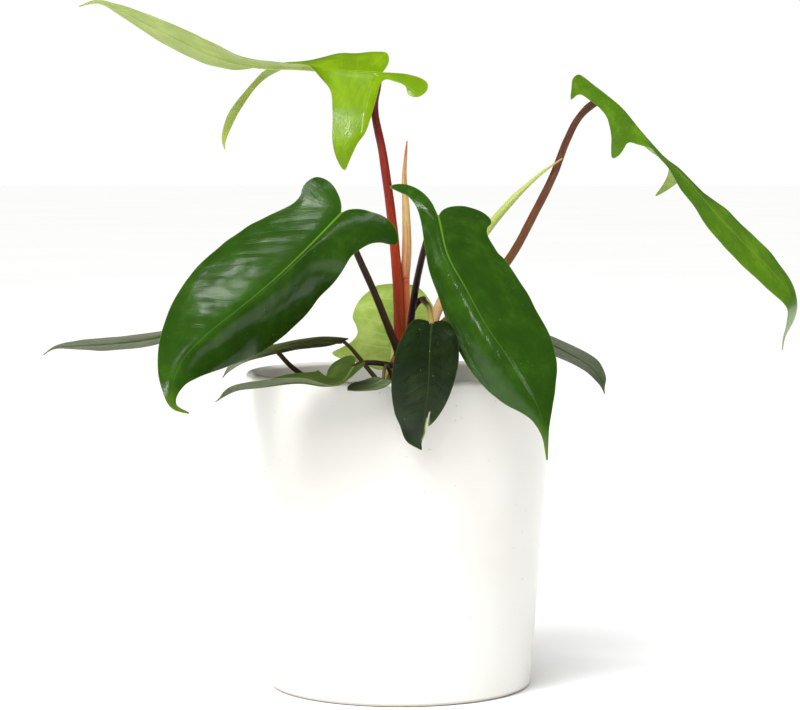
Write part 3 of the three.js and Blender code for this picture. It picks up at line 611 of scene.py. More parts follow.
def leafSkin(name, look):
    # clouded and finely streaked along the side veins, with midrib, margin, tip and dust
    look = {**plainLeaf, **look}
    make = Maker(name)
    place = make.attribute("leafPlace")
    along, out, edge = make.parts(place)
    coordinate, gap, share = make.parts(make.attribute("leafVein"))
    cm = make.node("ShaderNodeVectorMath", {"operation": "SCALE"}, {0: place, "Scale": 0.1})
    clouds, mottle, grain, dusty = (
        make.noise(cm, *leafPattern[kind]) for kind in ("clouds", "mottle", "grain", "dusty"))
    streaks = make.noise(make.vector(coordinate * 9, abs(out) * 0.09, share * 3), 1.0, 4, 0.62)
    streaks = 0.5 + (streaks - 0.5) * make.step(gap, 1.2, 4.5)
    tone = clouds * 0.8 + mottle * 0.1 + streaks * 0.1
    colour = make.mix(make.step(tone, 0.34, 0.66), look["dark"], look["base"])
    glow = make.step(clouds * 0.7 + mottle * 0.15 + streaks * 0.15, 0.50, 0.66)
    colour = make.mix(glow * look["lightAmount"], colour, look["light"])
    # side veins: a fine line in a wider shade
    toVein = abs(coordinate.math("FRACT", coordinate) - 0.5) * gap
    shown = make.step(edge, 0.5, 11) * make.step(gap, 1.0, 3.2)
    line = make.step(toVein, 0.05, look["veinWidth"], 1, 0) * shown
    colour = make.mix(line * look["veinStrength"], colour, look["vein"])
    shade = make.step(toVein, 0.3, 2.2, 1, 0) * shown * look["veinShade"]
    colour = make.mix(shade, colour, look["dark"])
    # midrib, tip and margin
    narrow = 1 - share
    ribWidth = (0.22 + narrow * narrow * 0.78) * look["ribWidth"]
    rib = make.step(abs(out) - ribWidth, -0.25, 0.22, 1, 0) * make.step(share, 0.7, 0.97, 1, 0.2)
    ribColour = make.mix(make.step(share, 0.0, 0.55), look["rib"], look.get("ribEnd", look["rib"]))
    colour = make.mix(rib * look["ribAmount"], colour, ribColour)
    tip = make.step(share + clouds * 0.06, 0.9, 1.02)
    colour = make.mix(tip * look["tipAmount"], colour, look.get("tip", look["light"]))
    margin = make.step(edge, 0.08, 0.5, 1, 0)
    colour = make.mix(margin * look["marginAmount"], colour, look["margin"])
    if "tear" in look:
        colour = make.mix(tornEdge(make, along, out, edge, *look["tear"]), colour, look["tearColour"])
    dust = make.step(make.cells(cm, leafPattern["specks"]), 0.05, 0.09, 1, 0)
    dust = dust * make.step(dusty, 0.52, 0.58) * look["dust"]
    colour = make.mix(dust, colour, look["dustColour"])
    rough = look["rough"] + (mottle - 0.5) * 0.14 + (streaks - 0.5) * 0.12 + dust * 0.3
    height = streaks * 0.8 + grain * 0.06 + mottle * 0.5 - line * 0.25
    return make.finish({
        "Base Color": colour,
        "Roughness": rough,
        "Normal": make.bump(height, look["bump"], 0.0006),
        "Specular IOR Level": look["specular"],
    })


def tornEdge(make, along, out, edge, start, end, low, high):
    # a mask on the edge from start to end along the blade and from low to high across it
    near = make.step(along, start - 1, start) * make.step(along, end, end + 1, 1, 0)
    near = near * make.step(out, low - 0.5, low) * make.step(out, high, high + 0.5, 1, 0)
    return near * make.step(edge, 0.4, 1.0, 1, 0)


darkLook = {
    "base": srgb(38, 69, 12), "dark": srgb(32, 60, 10), "light": srgb(47, 81, 16),
    "vein": srgb(46, 78, 24), "rib": srgb(84, 120, 38), "ribEnd": srgb(62, 92, 38),
    "ribWidth": 0.6, "margin": srgb(96, 124, 46), "marginAmount": 0.5, "tip": srgb(88, 122, 30),
    "rough": 0.16, "dust": 0.3, "specular": 0.27, "bump": 0.14,
}
darkUnder = {
    "base": srgb(64, 78, 32), "dark": srgb(52, 66, 24), "light": srgb(80, 94, 44),
    "vein": srgb(88, 102, 54), "rib": srgb(98, 110, 60), "margin": srgb(88, 98, 50),
    "rough": 0.55, "veinStrength": 0.35, "dust": 0.0, "specular": 0.2,
}
shadeLook = {
    "base": srgb(58, 76, 28), "dark": srgb(48, 65, 22), "light": srgb(70, 88, 38),
    "vein": srgb(70, 86, 44), "rib": srgb(84, 102, 52), "ribWidth": 0.5, "margin": srgb(96, 108, 56),
    "marginAmount": 0.5, "tip": srgb(80, 96, 48), "rough": 0.36, "dust": 0.2, "specular": 0.3,
}
leafDark = leafSkin("leafDark", darkLook)
leafShade = leafSkin("leafShade", shadeLook)
leafDull = leafSkin("leafDull", {
    **shadeLook, "base": srgb(98, 112, 62), "dark": srgb(86, 100, 52), "light": srgb(110, 124, 74),
    "rib": srgb(96, 110, 66), "bump": 0.1,
})
leafDarkUnder = leafSkin("leafDarkUnder", darkUnder)

# Each leaf has its midrib, where the blade starts at the second point, the way its upper face looks
# at each of those points or everywhere, and on each side an outline and rows of how far along, the
# fold and the curl in degrees. Its veins are their lean, their sweep and the gap between them.

frontLeft = {
    "seed": 11, "veins": (0.45, 1.1, 0.066), "relief": 0.12, "waves": 1.0,
    "midrib": [
        (-16.5, -30, 287), (-32.5, -45, 271), (-51, -61, 252), (-69.5, -75, 234.5),
        (-86.5, -86, 220.5), (-103.5, -95, 207), (-115.5, -101, 194.5), (-121, -106, 182),
        (-120.5, -109, 169.5), (-112.5, -109, 165.5),
    ],
    "faces": [(0, -.88, .48)],
    "rightEdge": [
        (0, 0), (-.03, .022), (-.062, .058), (-.09, .104), (-.102, .15), (-.095, .182),
        (-.065, .196), (-.03, .193), (0, .178), (.04, .178), (.09, .2), (.15, .231), (.25, .26),
        (.34, .27), (.46, .264), (.57, .237), (.65, .2), (.72, .154), (.78, .106), (.84, .065),
        (.89, .036), (.94, .014), (1, .003),
    ],
    "leftEdge": [
        (0, 0), (-.03, .012), (-.06, .039), (-.08, .073), (-.1, .112), (-.103, .155), (-.085, .2),
        (-.066, .211), (-.05, .196), (-.03, .169), (0, .147), (.04, .135), (.09, .13),
        (.14, .143), (.21, .172), (.28, .198), (.35, .213), (.43, .221), (.51, .207), (.6, .172),
        (.72, .123), (.81, .077), (.87, .04), (.92, .016), (1, .003),
    ],
    "rightBend": [(-.15, -14, -6), (.2, -16, -8), (1, -14, -10)],
    "leftBend": [(-.15, -5, -25), (.1, -18, -40), (.25, -34, -60), (1, -34, -60)],
}
makeBlade("leaf_front_left", frontLeft, leafDark, leafDarkUnder)

frontRight = {
    "seed": 23, "veins": (0.45, 1.1, 0.066), "relief": 0.26, "waves": 0.9,
    "midrib": [
        (16.5, -42, 283.5), (21, -60, 269.5), (26, -76, 248.5), (35, -86, 232), (46, -96, 212),
        (57, -103, 196), (66.5, -108, 181), (73.5, -111, 168.5), (77, -112, 155.5),
        (78.5, -111, 140.5),
    ],
    "faces": [(.32, -.82, .48)],
    "rightEdge": [
        (0, 0), (-.03, .004), (-.07, .008), (-.13, .024), (-.18, .052), (-.22, .09),
        (-.238, .135), (-.19, .112), (-.14, .082), (-.07, .066), (-.01, .066), (.07, .075),
        (.16, .086), (.26, .108), (.37, .133), (.48, .15), (.6, .152), (.72, .115), (.8, .068),
        (.86, .032), (.92, .012), (1, .003),
    ],
    "leftEdge": [
        (0, 0), (-.03, .02), (-.06, .058), (-.082, .12), (-.07, .177), (-.03, .208), (0, .207),
        (.02, .19), (.05, .18), (.13, .2), (.28, .22), (.4, .231), (.52, .223), (.63, .202),
        (.72, .159), (.78, .104), (.84, .05), (.9, .018), (1, .003),
    ],
    "rightBend": [(-.15, -15, -60), (.1, -38, -80), (1, -38, -70)],
    "leftBend": [(-.15, 0, -8), (.2, -2, -12), (1, -4, -15)],
}
makeBlade("leaf_front_right", frontRight, leafDark, leafDarkUnder)

oldLook = {
    "base": srgb(21, 35, 11), "dark": srgb(16, 29, 9), "light": srgb(32, 47, 17),
    "vein": srgb(34, 49, 24), "rib": srgb(48, 65, 32), "margin": srgb(62, 78, 36),
    "marginAmount": 0.5, "tip": srgb(36, 52, 20), "rough": 0.3, "ribWidth": 0.6,
    "ribAmount": 0.5, "veinStrength": 0.05, "specular": 0.25,
    "tear": (51, 63, -2.9, -1.2), "tearColour": srgb(98, 110, 42),
}
leafOld = leafSkin("leafOld", oldLook)
frontSmall = {
    "seed": 37, "veins": (0.6, 1.0, 0.085), "relief": 0.2, "waves": 0.5,
    "midrib": [
        (18, -86, 216), (17, -92, 211.5), (16, -97, 200.5), (15.5, -100, 185), (14, -101, 169),
        (12, -101, 157), (10, -100, 149), (11.5, -100, 145),
    ],
    "faces": [(0, -.9, .45)],
    "rightEdge": [
        (0, 0), (-.035, .03), (-.045, .069), (-.04, .121), (.01, .172), (.1, .213), (.2, .254),
        (.33, .283), (.47, .29), (.63, .269), (.79, .214), (.91, .118), (.97, .034), (1, .006),
    ],
    "leftEdge": [
        (0, 0), (-.04, .017), (-.07, .058), (-.085, .1), (-.06, .15), (.02, .2), (.11, .23),
        (.19, .241), (.29, .241), (.43, .212), (.6, .16), (.72, .102), (.775, .066), (.79, .053),
        (.797, .041), (.775, .037), (.72, .038), (.684, .039), (.675, .034), (.69, .029), (.74, .025),
        (.79, .021), (.815, .024), (.85, .033), (.9, .03), (.96, .018), (1, .006),
    ],
    "rightBend": [(-.15, 6, -10), (.2, 6, -15), (1, 4, -15)],
    "leftBend": [(-.15, -4, -20), (.2, -6, -25), (1, -8, -30)],
}
makeBlade("leaf_front_small", frontSmall, leafOld, leafDarkUnder)

paleLook = {
    "base": srgb(140, 161, 70), "dark": srgb(122, 147, 54), "light": srgb(162, 180, 96),
    "vein": srgb(178, 192, 120), "rib": srgb(182, 194, 124), "margin": srgb(126, 148, 54),
    "tip": srgb(126, 150, 52), "rough": 0.42, "veinStrength": 0.4, "veinWidth": 0.8,
}
paleUnder = {
    "base": srgb(150, 170, 82), "dark": srgb(134, 156, 68), "light": srgb(168, 184, 104),
    "vein": srgb(182, 194, 126), "rib": srgb(186, 196, 130), "margin": srgb(144, 162, 74),
    "rough": 0.52, "veinStrength": 0.4, "dust": 0.0, "specular": 0.3,
}
leafPale = leafSkin("leafPale", paleLook)
leafPaleUnder = leafSkin("leafPaleUnder", paleUnder)
backPale = {
    "seed": 41, "veins": (0.15, 0.8, 0.075), "relief": 0.35, "waves": 0.8,
    "midrib": [
        (-6, 17, 177.5), (-5, 22, 183), (-3.5, 34, 198.5), (-2.5, 48, 216.5), (-2, 70, 226),
        (-4, 97, 221.5), (-7.5, 118, 208),
    ],
    "faces": [
        (0, -1, .3), (0, -1, .3), (0, -.9, .4), (0, -.6, .8), (0, 0, 1), (0, .5, .9), (0, .8, .5),
    ],
    "rightEdge": [
        (0, 0), (-.04, .02), (-.06, .06), (-.04, .13), (0, .21), (.04, .27), (.08, .29), (.11, .25),
        (.14, .2), (.18, .185), (.23, .192), (.28, .196), (.34, .19), (.42, .162), (.5, .124),
        (.57, .096), (.65, .078), (.75, .06), (.86, .036), (.94, .014), (1, .003),
    ],
    "leftEdge": [
        (0, 0), (-.04, .02), (-.05, .06), (-.03, .12), (0, .2), (.03, .27), (.065, .3), (.09, .26),
        (.12, .21), (.17, .18), (.22, .19), (.27, .21), (.34, .2), (.42, .172), (.5, .13), (.57, .1),
        (.65, .08), (.75, .06), (.86, .036), (.94, .014), (1, .003),
    ],
    "rightBend": [(-.15, 0, -10), (.2, 0, -20), (1, 0, -20)],
    "leftBend": [(-.15, 0, -10), (.2, 0, -20), (1, 0, -20)],
}
makeBlade("leaf_back_pale", backPale, leafPale, leafPaleUnder)

brightLook = {
    "base": srgb(102, 135, 2), "dark": srgb(92, 125, 2), "light": srgb(118, 150, 10),
    "vein": srgb(130, 158, 36), "rib": srgb(138, 162, 44), "margin": srgb(112, 140, 24),
    "tip": srgb(122, 148, 40), "rough": 0.2, "veinStrength": 0.25, "specular": 0.5,
}
brightUnder = {
    "base": srgb(150, 168, 78), "dark": srgb(136, 156, 66), "light": srgb(164, 180, 94),
    "vein": srgb(172, 186, 108), "rib": srgb(176, 188, 112), "margin": srgb(150, 166, 70),
    "rough": 0.5, "veinStrength": 0.3, "dust": 0.0, "specular": 0.3,
}
leafBright = leafSkin("leafBright", brightLook)
leafBrightUnder = leafSkin("leafBrightUnder", brightUnder)
topLeft = {
    "seed": 53, "veins": (0.2, 0.6, 0.05), "relief": 0.3, "waves": 0.8,
    "midrib": [
        (7, 3, 349), (-10.5, 6, 350), (-31.5, 12, 351.5), (-57.5, 18, 353.5), (-83.5, 24, 354.5),
        (-105.5, 30, 359.5), (-132, 36, 371.5), (-164, 42, 387.5), (-176, 44, 392),
        (-187, 46, 389.5),
    ],
    "faces": [
        (0, 0, 1), (0, 0, 1), (.05, .05, 1), (.05, .08, 1), (.05, .12, 1), (.2, .25, .95),
        (.3, .3, .9), (.3, .28, .9), (.2, .2, .95), (0, .1, 1),
    ],
    "rightEdge": [
        (0, 0), (-.005, .03), (-.007, .07), (.002, .102), (.02, .124), (.06, .13), (.12, .128),
        (.2, .137), (.29, .15), (.37, .168), (.44, .2), (.475, .26), (.489, .33), (.489, .375),
        (.484, .4), (.499, .36), (.504, .31), (.497, .26), (.468, .2), (.42, .15), (.37, .122),
        (.335, .1), (.37, .094), (.43, .1), (.52, .107), (.64, .105), (.74, .091), (.83, .065),
        (.9, .036), (.95, .016), (1, .003),
    ],
    "leftEdge": [
        (0, 0), (-.03, .002), (-.07, .008), (-.12, .03), (-.15, .06), (-.152, .1), (-.13, .122),
        (-.1, .112), (-.085, .075), (-.05, .052), (-.018, .042), (-.008, .055), (-.006, .085),
        (-.003, .12), (.005, .158), (.02, .195), (.043, .235), (.06, .28), (.075, .316), (.1, .29),
        (.122, .235), (.133, .14), (.15, .075), (.19, .045), (.25, .06), (.35, .085), (.48, .098),
        (.6, .1), (.72, .092), (.82, .065), (.9, .035), (.95, .016), (1, .003),
    ],
    "rightBend": [
        (-.02, 36, -10), (.04, 37, -15), (.14, 41, -38), (.3, 31, -62), (.5, 18, -78), (.6, 0, -20),
        (1, 0, -10),
    ],
    "leftBend": [
        (-.15, -25, -50), (-.03, -30, -50), (.03, -68, -20), (.16, -72, -20), (.22, 5, -20),
        (.5, 8, 0), (1, 0, -10),
    ],
}
makeBlade("leaf_top_left", topLeft, leafBright, leafBrightUnder)

freshLook = {
    "base": srgb(82, 122, 12), "dark": srgb(70, 110, 10), "light": srgb(98, 138, 20),
    "vein": srgb(106, 140, 40), "rib": srgb(116, 148, 46), "margin": srgb(84, 116, 26),
    "tip": srgb(96, 128, 30), "rough": 0.34, "veinStrength": 0.15,
}
freshUnder = {
    "base": srgb(136, 160, 66), "dark": srgb(120, 146, 54), "light": srgb(152, 172, 84),
    "vein": srgb(160, 176, 96), "rib": srgb(164, 178, 102), "margin": srgb(128, 148, 62),
    "rough": 0.5, "veinStrength": 0.35, "dust": 0.0, "specular": 0.3,
}
leafFresh = leafSkin("leafFresh", freshLook)
leafFreshUnder = leafSkin("leafFreshUnder", freshUnder)
topRight = {
    "seed": 67, "veins": (0.2, 0.6, 0.05), "relief": 0.3, "waves": 0.8,
    "midrib": [
        (109.5, 24, 345), (119, 30, 338), (129.5, 35, 329.5), (140.5, 41, 317),
        (153, 47, 303.5), (167, 53, 290), (189.5, 62, 265.5), (205, 67, 250), (220.5, 71, 235),
        (232, 74, 221), (235, 75, 212), (233.5, 76, 203.5), (230, 77, 194), (229, 77, 186.5),
    ],
    "faces": [
        (.7, -.1, .75), (.7, -.1, .75), (.7, -.1, .75), (.7, -.06, .75), (.7, -.1, .75), (.62, -.38, .7),
        (.57, -.48, .68), (.6, -.48, .65), (.6, -.5, .64), (.74, -.46, .5), (.9, -.4, .2), (.9, -.4, -.2),
        (.9, -.3, 0), (.9, -.3, .2),
    ],
    "rightEdge": [
        (0, 0), (-.03, .004), (-.09, .003), (-.115, .012), (-.13, .04), (-.125, .07), (-.115, .1),
        (-.1, .075), (-.085, .064), (-.05, .061), (-.015, .06), (.02, .068), (.05, .088), (.08, .11),
        (.11, .136), (.128, .148), (.138, .128), (.138, .1), (.137, .078), (.148, .064), (.18, .062),
        (.23, .074), (.3, .086), (.42, .095), (.55, .1), (.7, .095), (.82, .07), (.9, .04), (.95, .018),
        (1, .003),
    ],
    "leftEdge": [
        (0, 0), (-.02, .01), (-.045, .03), (-.058, .06), (-.052, .1), (-.025, .122), (.01, .12),
        (.06, .118), (.13, .118), (.2, .116), (.26, .116), (.3, .12), (.328, .132), (.355, .162),
        (.383, .205), (.408, .255), (.428, .302), (.429, .262), (.421, .215), (.406, .168),
        (.39, .128), (.378, .104), (.388, .09), (.45, .092), (.55, .1), (.7, .095), (.82, .07),
        (.9, .04), (.95, .018), (1, .003),
    ],
    "rightBend": [
        (-.13, -40, -30), (.02, -40, -30), (.14, -48, -20), (.2, -10, 0), (.4, -2, -10), (1, 0, -20),
    ],
    "leftBend": [
        (-.1, -10, -30), (.12, -9, -16), (.26, -2, -34), (.34, 0, -66), (.44, 0, -66), (.56, 0, -20),
        (1, 0, -20),
    ],
}
makeBlade("leaf_top_right", topRight, leafFresh, leafFreshUnder)

farLeft = {
    "seed": 71, "veins": (0.45, 1.0, 0.07), "relief": 0.25, "waves": 0.7,
    "midrib": [
        (-84.5, 2, 206.5), (-92.5, 0, 206.5), (-114, -6, 206), (-141.5, -12, 199.5),
        (-167, -16, 196.5), (-185.5, -18, 195.5), (-195, -19, 194.5), (-201.5, -20, 190.5),
    ],
    "faces": [(0, .22, 1)],
    "rightEdge": plainEdge,
    "leftEdge": plainEdge,
    "rightBend": [(-.15, 0, -10), (.2, 4, -10), (1, 0, 0)],
    "leftBend": [(-.15, 0, -10), (.2, 2, -10), (1, 0, 0)],
}
makeBlade("leaf_far_left", farLeft, leafShade, leafDarkUnder)

midLeft = {
    "seed": 83, "veins": (0.5, 1.0, 0.08), "relief": 0.2, "waves": 0.5,
    "midrib": [
        (-27, -26, 199.5), (-32, -29, 199), (-50, -35.7, 199), (-69, -41.5, 195.8), (-85.5, -45.4, 191),
        (-94.5, -47.3, 185), (-98.5, -48.3, 179.5),
    ],
    "faces": [(0, .27, 1)],
    "rightEdge": bluntEdge,
    "leftEdge": bluntEdge,
    "rightBend": [(-.15, 0, -10), (.2, 4, -10), (1, 0, 0)],
    "leftBend": [(-.15, 0, -10), (.2, 2, -10), (1, 0, 0)],
}
makeBlade("leaf_mid_left", midLeft, leafShade, leafDull)

lowLeft = {
    "seed": 97, "veins": (0.5, 1.0, 0.08), "relief": 0.2, "waves": 0.4,
    "midrib": [
        (-20.5, -84, 193), (-25, -90, 189), (-30.5, -98, 182), (-40, -103, 180.5),
        (-53.5, -105, 182), (-73.5, -105, 179.5), (-88.5, -103, 177), (-99, -101, 171),
    ],
    "faces": [
        (-.2, -.6, .6), (-.2, -.6, .6), (-.1, -.4, .8), (0, -.1, 1), (0, .05, 1), (0, .1, 1),
        (0, .1, 1), (0, .1, 1),
    ],
    "rightEdge": plainEdge,
    "leftEdge": bluntEdge,
    "rightBend": [(-.15, -22, 0), (.1, -20, 0), (.25, 12, 0), (1, 15, 0)],
    "leftBend": [(-.15, 44, 0), (.12, 44, 0), (.3, 8, 0), (1, 8, 0)],
}
makeBlade("leaf_low_left", lowLeft, leafShade, leafDarkUnder)

smallLook = {
    "base": srgb(80, 98, 60), "dark": srgb(62, 80, 46), "light": srgb(98, 114, 74),
    "vein": srgb(108, 124, 86), "rib": srgb(112, 124, 88), "margin": srgb(74, 84, 50),
    "rough": 0.45, "dust": 0.2, "ribWidth": 0.5,
}
leafSmall = leafSkin("leafSmall", smallLook)
tiny = {
    "seed": 101, "veins": (0.5, 1.0, 0.1), "relief": 0.08, "waves": 0.2, "ripple": 0.15,
    "midrib": [
        (-6.5, -86, 183.5), (-9, -91, 182), (-15, -98, 179.5), (-22.5, -106, 178.5),
        (-26.5, -110, 178), (-28, -112, 178),
    ],
    "faces": [(.1, -.2, 1)],
    "rightEdge": ovalEdge,
    "leftEdge": ovalEdge,
    "rightBend": [(-.15, 5, 0), (.2, 5, 0), (1, 5, 0)],
    "leftBend": [(-.15, 5, 0), (.2, 5, 0), (1, 5, 0)],
}
makeBlade("leaf_tiny", tiny, leafSmall, leafDarkUnder)

lowRight = {
    "seed": 113, "veins": (0.5, 1.0, 0.075), "relief": 0.22, "waves": 0.6,
    "midrib": [
        (39.5, 34, 208), (48, 38, 205.5), (70.5, 48, 200), (96.5, 58, 188), (112, 64, 178.5),
        (119, 66, 170.5), (122, 67, 161),
    ],
    "faces": [(.1, .15, 1)],
    "rightEdge": plainEdge,
    "leftEdge": plainEdge,
    "rightBend": [(-.15, 0, -10), (.2, 2, -10), (1, 0, 0)],
    "leftBend": [(-.15, 0, -10), (.2, 2, -10), (1, 0, 0)],
}
makeBlade("leaf_low_right", lowRight, leafShade, leafDarkUnder)


# Stalks

tube = {
    "sides": 26,
    "step": 1.3,
    "smooth": 2.0,         # in steps
    "wobble": 0.05,        # share of the radius
    "wobbleRound": 0.7,    # how fast it changes round the stalk
    "wobbleLength": 7,
}


def makeStalk(node, stem):
    # a tapered tube; its shape(share, angles), if any, gives a factor on its radius
    line = Path(stem["path"])
    count = max(12, round(line.length / tube["step"]))
    shares = np.linspace(0, 1, count + 1)
    distances = shares * line.length
    middles = smoothed(line.at(distances), tube["smooth"])
    middles[0], middles[-1] = line.at([0])[0], line.at([line.length])[0]
    tangents = unit(smoothed(line.tangents(distances), tube["smooth"]))
    radius = np.interp(shares, *np.array(stem["radii"], float).T)
    sides = tube["sides"]
    angles = np.arange(sides) * 2 * math.pi / sides
    cosines, sines = np.cos(angles), np.sin(angles)
    across = np.array([1.0, 0, 0])
    points, rounds = [], []
    for share, distance, middle, tangent, thick in zip(shares, distances, middles, tangents, radius):
        across = across - tangent * (across @ tangent)
        across /= np.linalg.norm(across)
        beside = np.cross(tangent, across)
        level = np.full(sides, distance)
        ring = np.column_stack([cosines * tube["wobbleRound"], sines * tube["wobbleRound"],
                                level / tube["wobbleLength"]])
        factor = 1 + stem.get("wobble", tube["wobble"]) * noiseAt(ring, stem["seed"])
        if "shape" in stem:
            factor = factor * stem["shape"](share, angles)
        reach = (thick * factor)[:, None]
        points.append(middle + across * reach * cosines[:, None] + beside * reach * sines[:, None])
        rounds.append(np.column_stack([cosines * thick, sines * thick, level]))
    faces = []
    for row in range(count):
        for side in range(sides):
            a, b = row * sides + side, row * sides + (side + 1) % sides
            faces.append((a, b, b + sides, a + sides))
    faces += [tuple(range(sides))[::-1], tuple(range(count * sides, (count + 1) * sides))]
    mesh = bpy.data.meshes.new(camel(node))
    mesh.from_pydata((np.vstack(points) * mm).tolist(), [], faces)
    mesh.polygons.foreach_set("use_smooth", [True] * len(faces))
    mesh.materials.append(stem["skin"])
    shareOf = mesh.attributes.new("stalkShare", "FLOAT", "POINT")
    shareOf.data.foreach_set("value", np.repeat(shares, sides).astype(np.float32))
    setVectors(mesh, "stalkRound", np.vstack(rounds))
    mesh.validate()
    attach(linked(camel(node), mesh), node)


plainStalk = {
    # what a skin has unless its own look says otherwise
    "streak": srgb(90, 60, 40), "streakAmount": 0.45, "streakScale": 1.6, "fleck": srgb(210, 160, 130),
    "fleckAmount": 0.15, "fleckScale": 1.5, "rough": 0.42, "bump": 0.4, "specular": 0.3,
}


def stalkSkin(name, look):
    # colours along the stalk, with long streaks, flecks and a fine skin
    look = {**plainStalk, **look}
    make = Maker(name)
    share = make.attribute("stalkShare", "Fac")
    place = make.attribute("stalkRound")
    x, y, z = make.parts(place)
    streaks = make.noise(make.vector(x, y, z * 0.07), look["streakScale"], 4, 0.6)
    mottle = make.noise(place, 0.5, 3, 0.6)
    grain = make.noise(place, 4.5, 3, 0.6)
    stops = [(stop, srgb(*colour)) for stop, colour in look["colours"]]
    colour = make.ramp(share + (mottle - 0.5) * 0.12, stops)
    colour = make.mix(make.step(streaks, 0.42, 0.68) * look["streakAmount"], colour, look["streak"])
    flecks = make.step(make.cells(make.vector(x, y, z * 0.55), look["fleckScale"]), 0.12, 0.26, 1, 0)
    flecks = flecks * make.step(grain, 0.45, 0.6) * look["fleckAmount"]
    colour = make.mix(flecks, colour, look["fleck"])
    height = streaks * 0.5 + grain * 0.4 + flecks * 1.5
    return make.finish({
        "Base Color": colour,
        "Roughness": look["rough"] + (grain - 0.5) * 0.2,
        "Normal": make.bump(height, look["bump"], 0.0005),
        "Specular IOR Level": look["specular"],
    })


redStalk = stalkSkin("redStalk", {
    "colours": [
        (0.0, (134, 62, 12)), (0.12, (152, 52, 6)), (0.4, (152, 42, 6)), (0.58, (120, 28, 16)),
        (0.9, (98, 22, 22)), (1.0, (104, 50, 30)),
    ],
    "streak": srgb(166, 66, 24), "streakAmount": 0.3, "fleck": srgb(196, 122, 104),
    "fleckAmount": 0.5, "bump": 0.6,
})
brownStalk = stalkSkin("brownStalk", {
    "colours": [(0.0, (84, 56, 20)), (0.15, (58, 40, 20)), (0.6, (56, 36, 20)), (1.0, (70, 46, 24))],
    "streak": srgb(80, 62, 32), "streakAmount": 0.5, "fleck": srgb(124, 96, 76), "fleckAmount": 0.2,
})
darkStalk = stalkSkin("darkStalk", {
    "colours": [(0.0, (66, 38, 20)), (0.2, (42, 24, 18)), (0.7, (38, 20, 18)), (1.0, (60, 38, 26))],
    "streak": srgb(60, 40, 28), "streakAmount": 0.35, "fleck": srgb(110, 84, 72), "fleckAmount": 0.2,
})
tallStalk = stalkSkin("tallStalk", {
    "colours": [
        (0.0, (100, 72, 24)), (0.35, (98, 64, 24)), (0.6, (88, 44, 28)), (0.9, (70, 34, 28)),
        (1.0, (84, 56, 30)),
    ],
    "streak": srgb(108, 82, 34), "streakAmount": 0.5, "fleck": srgb(150, 110, 86), "fleckAmount": 0.35,
})
archStalk = stalkSkin("archStalk", {
    "colours": [
        (0.0, (66, 40, 26)), (0.5, (38, 22, 20)), (0.86, (42, 26, 22)), (0.94, (118, 108, 52)),
        (1.0, (146, 128, 76)),
    ],
    "streak": srgb(70, 48, 40), "streakAmount": 0.3,
})
oliveStalk = stalkSkin("oliveStalk", {
    "colours": [(0.0, (112, 96, 50)), (0.4, (70, 64, 30)), (0.8, (62, 58, 28)), (1.0, (84, 80, 42))],
    "streak": srgb(94, 82, 44),
})
creamStalk = stalkSkin("creamStalk", {
    "colours": [(0.0, (168, 152, 100)), (0.6, (166, 172, 108)), (1.0, (164, 178, 98))],
    "streak": srgb(148, 160, 82), "rough": 0.48,
})


def jointed(share, angles):
    # a stalk that swells a little below the blade
    return (1 + 0.22 * np.exp(-((share - 0.955) / 0.03) ** 2)) * np.ones(len(angles))


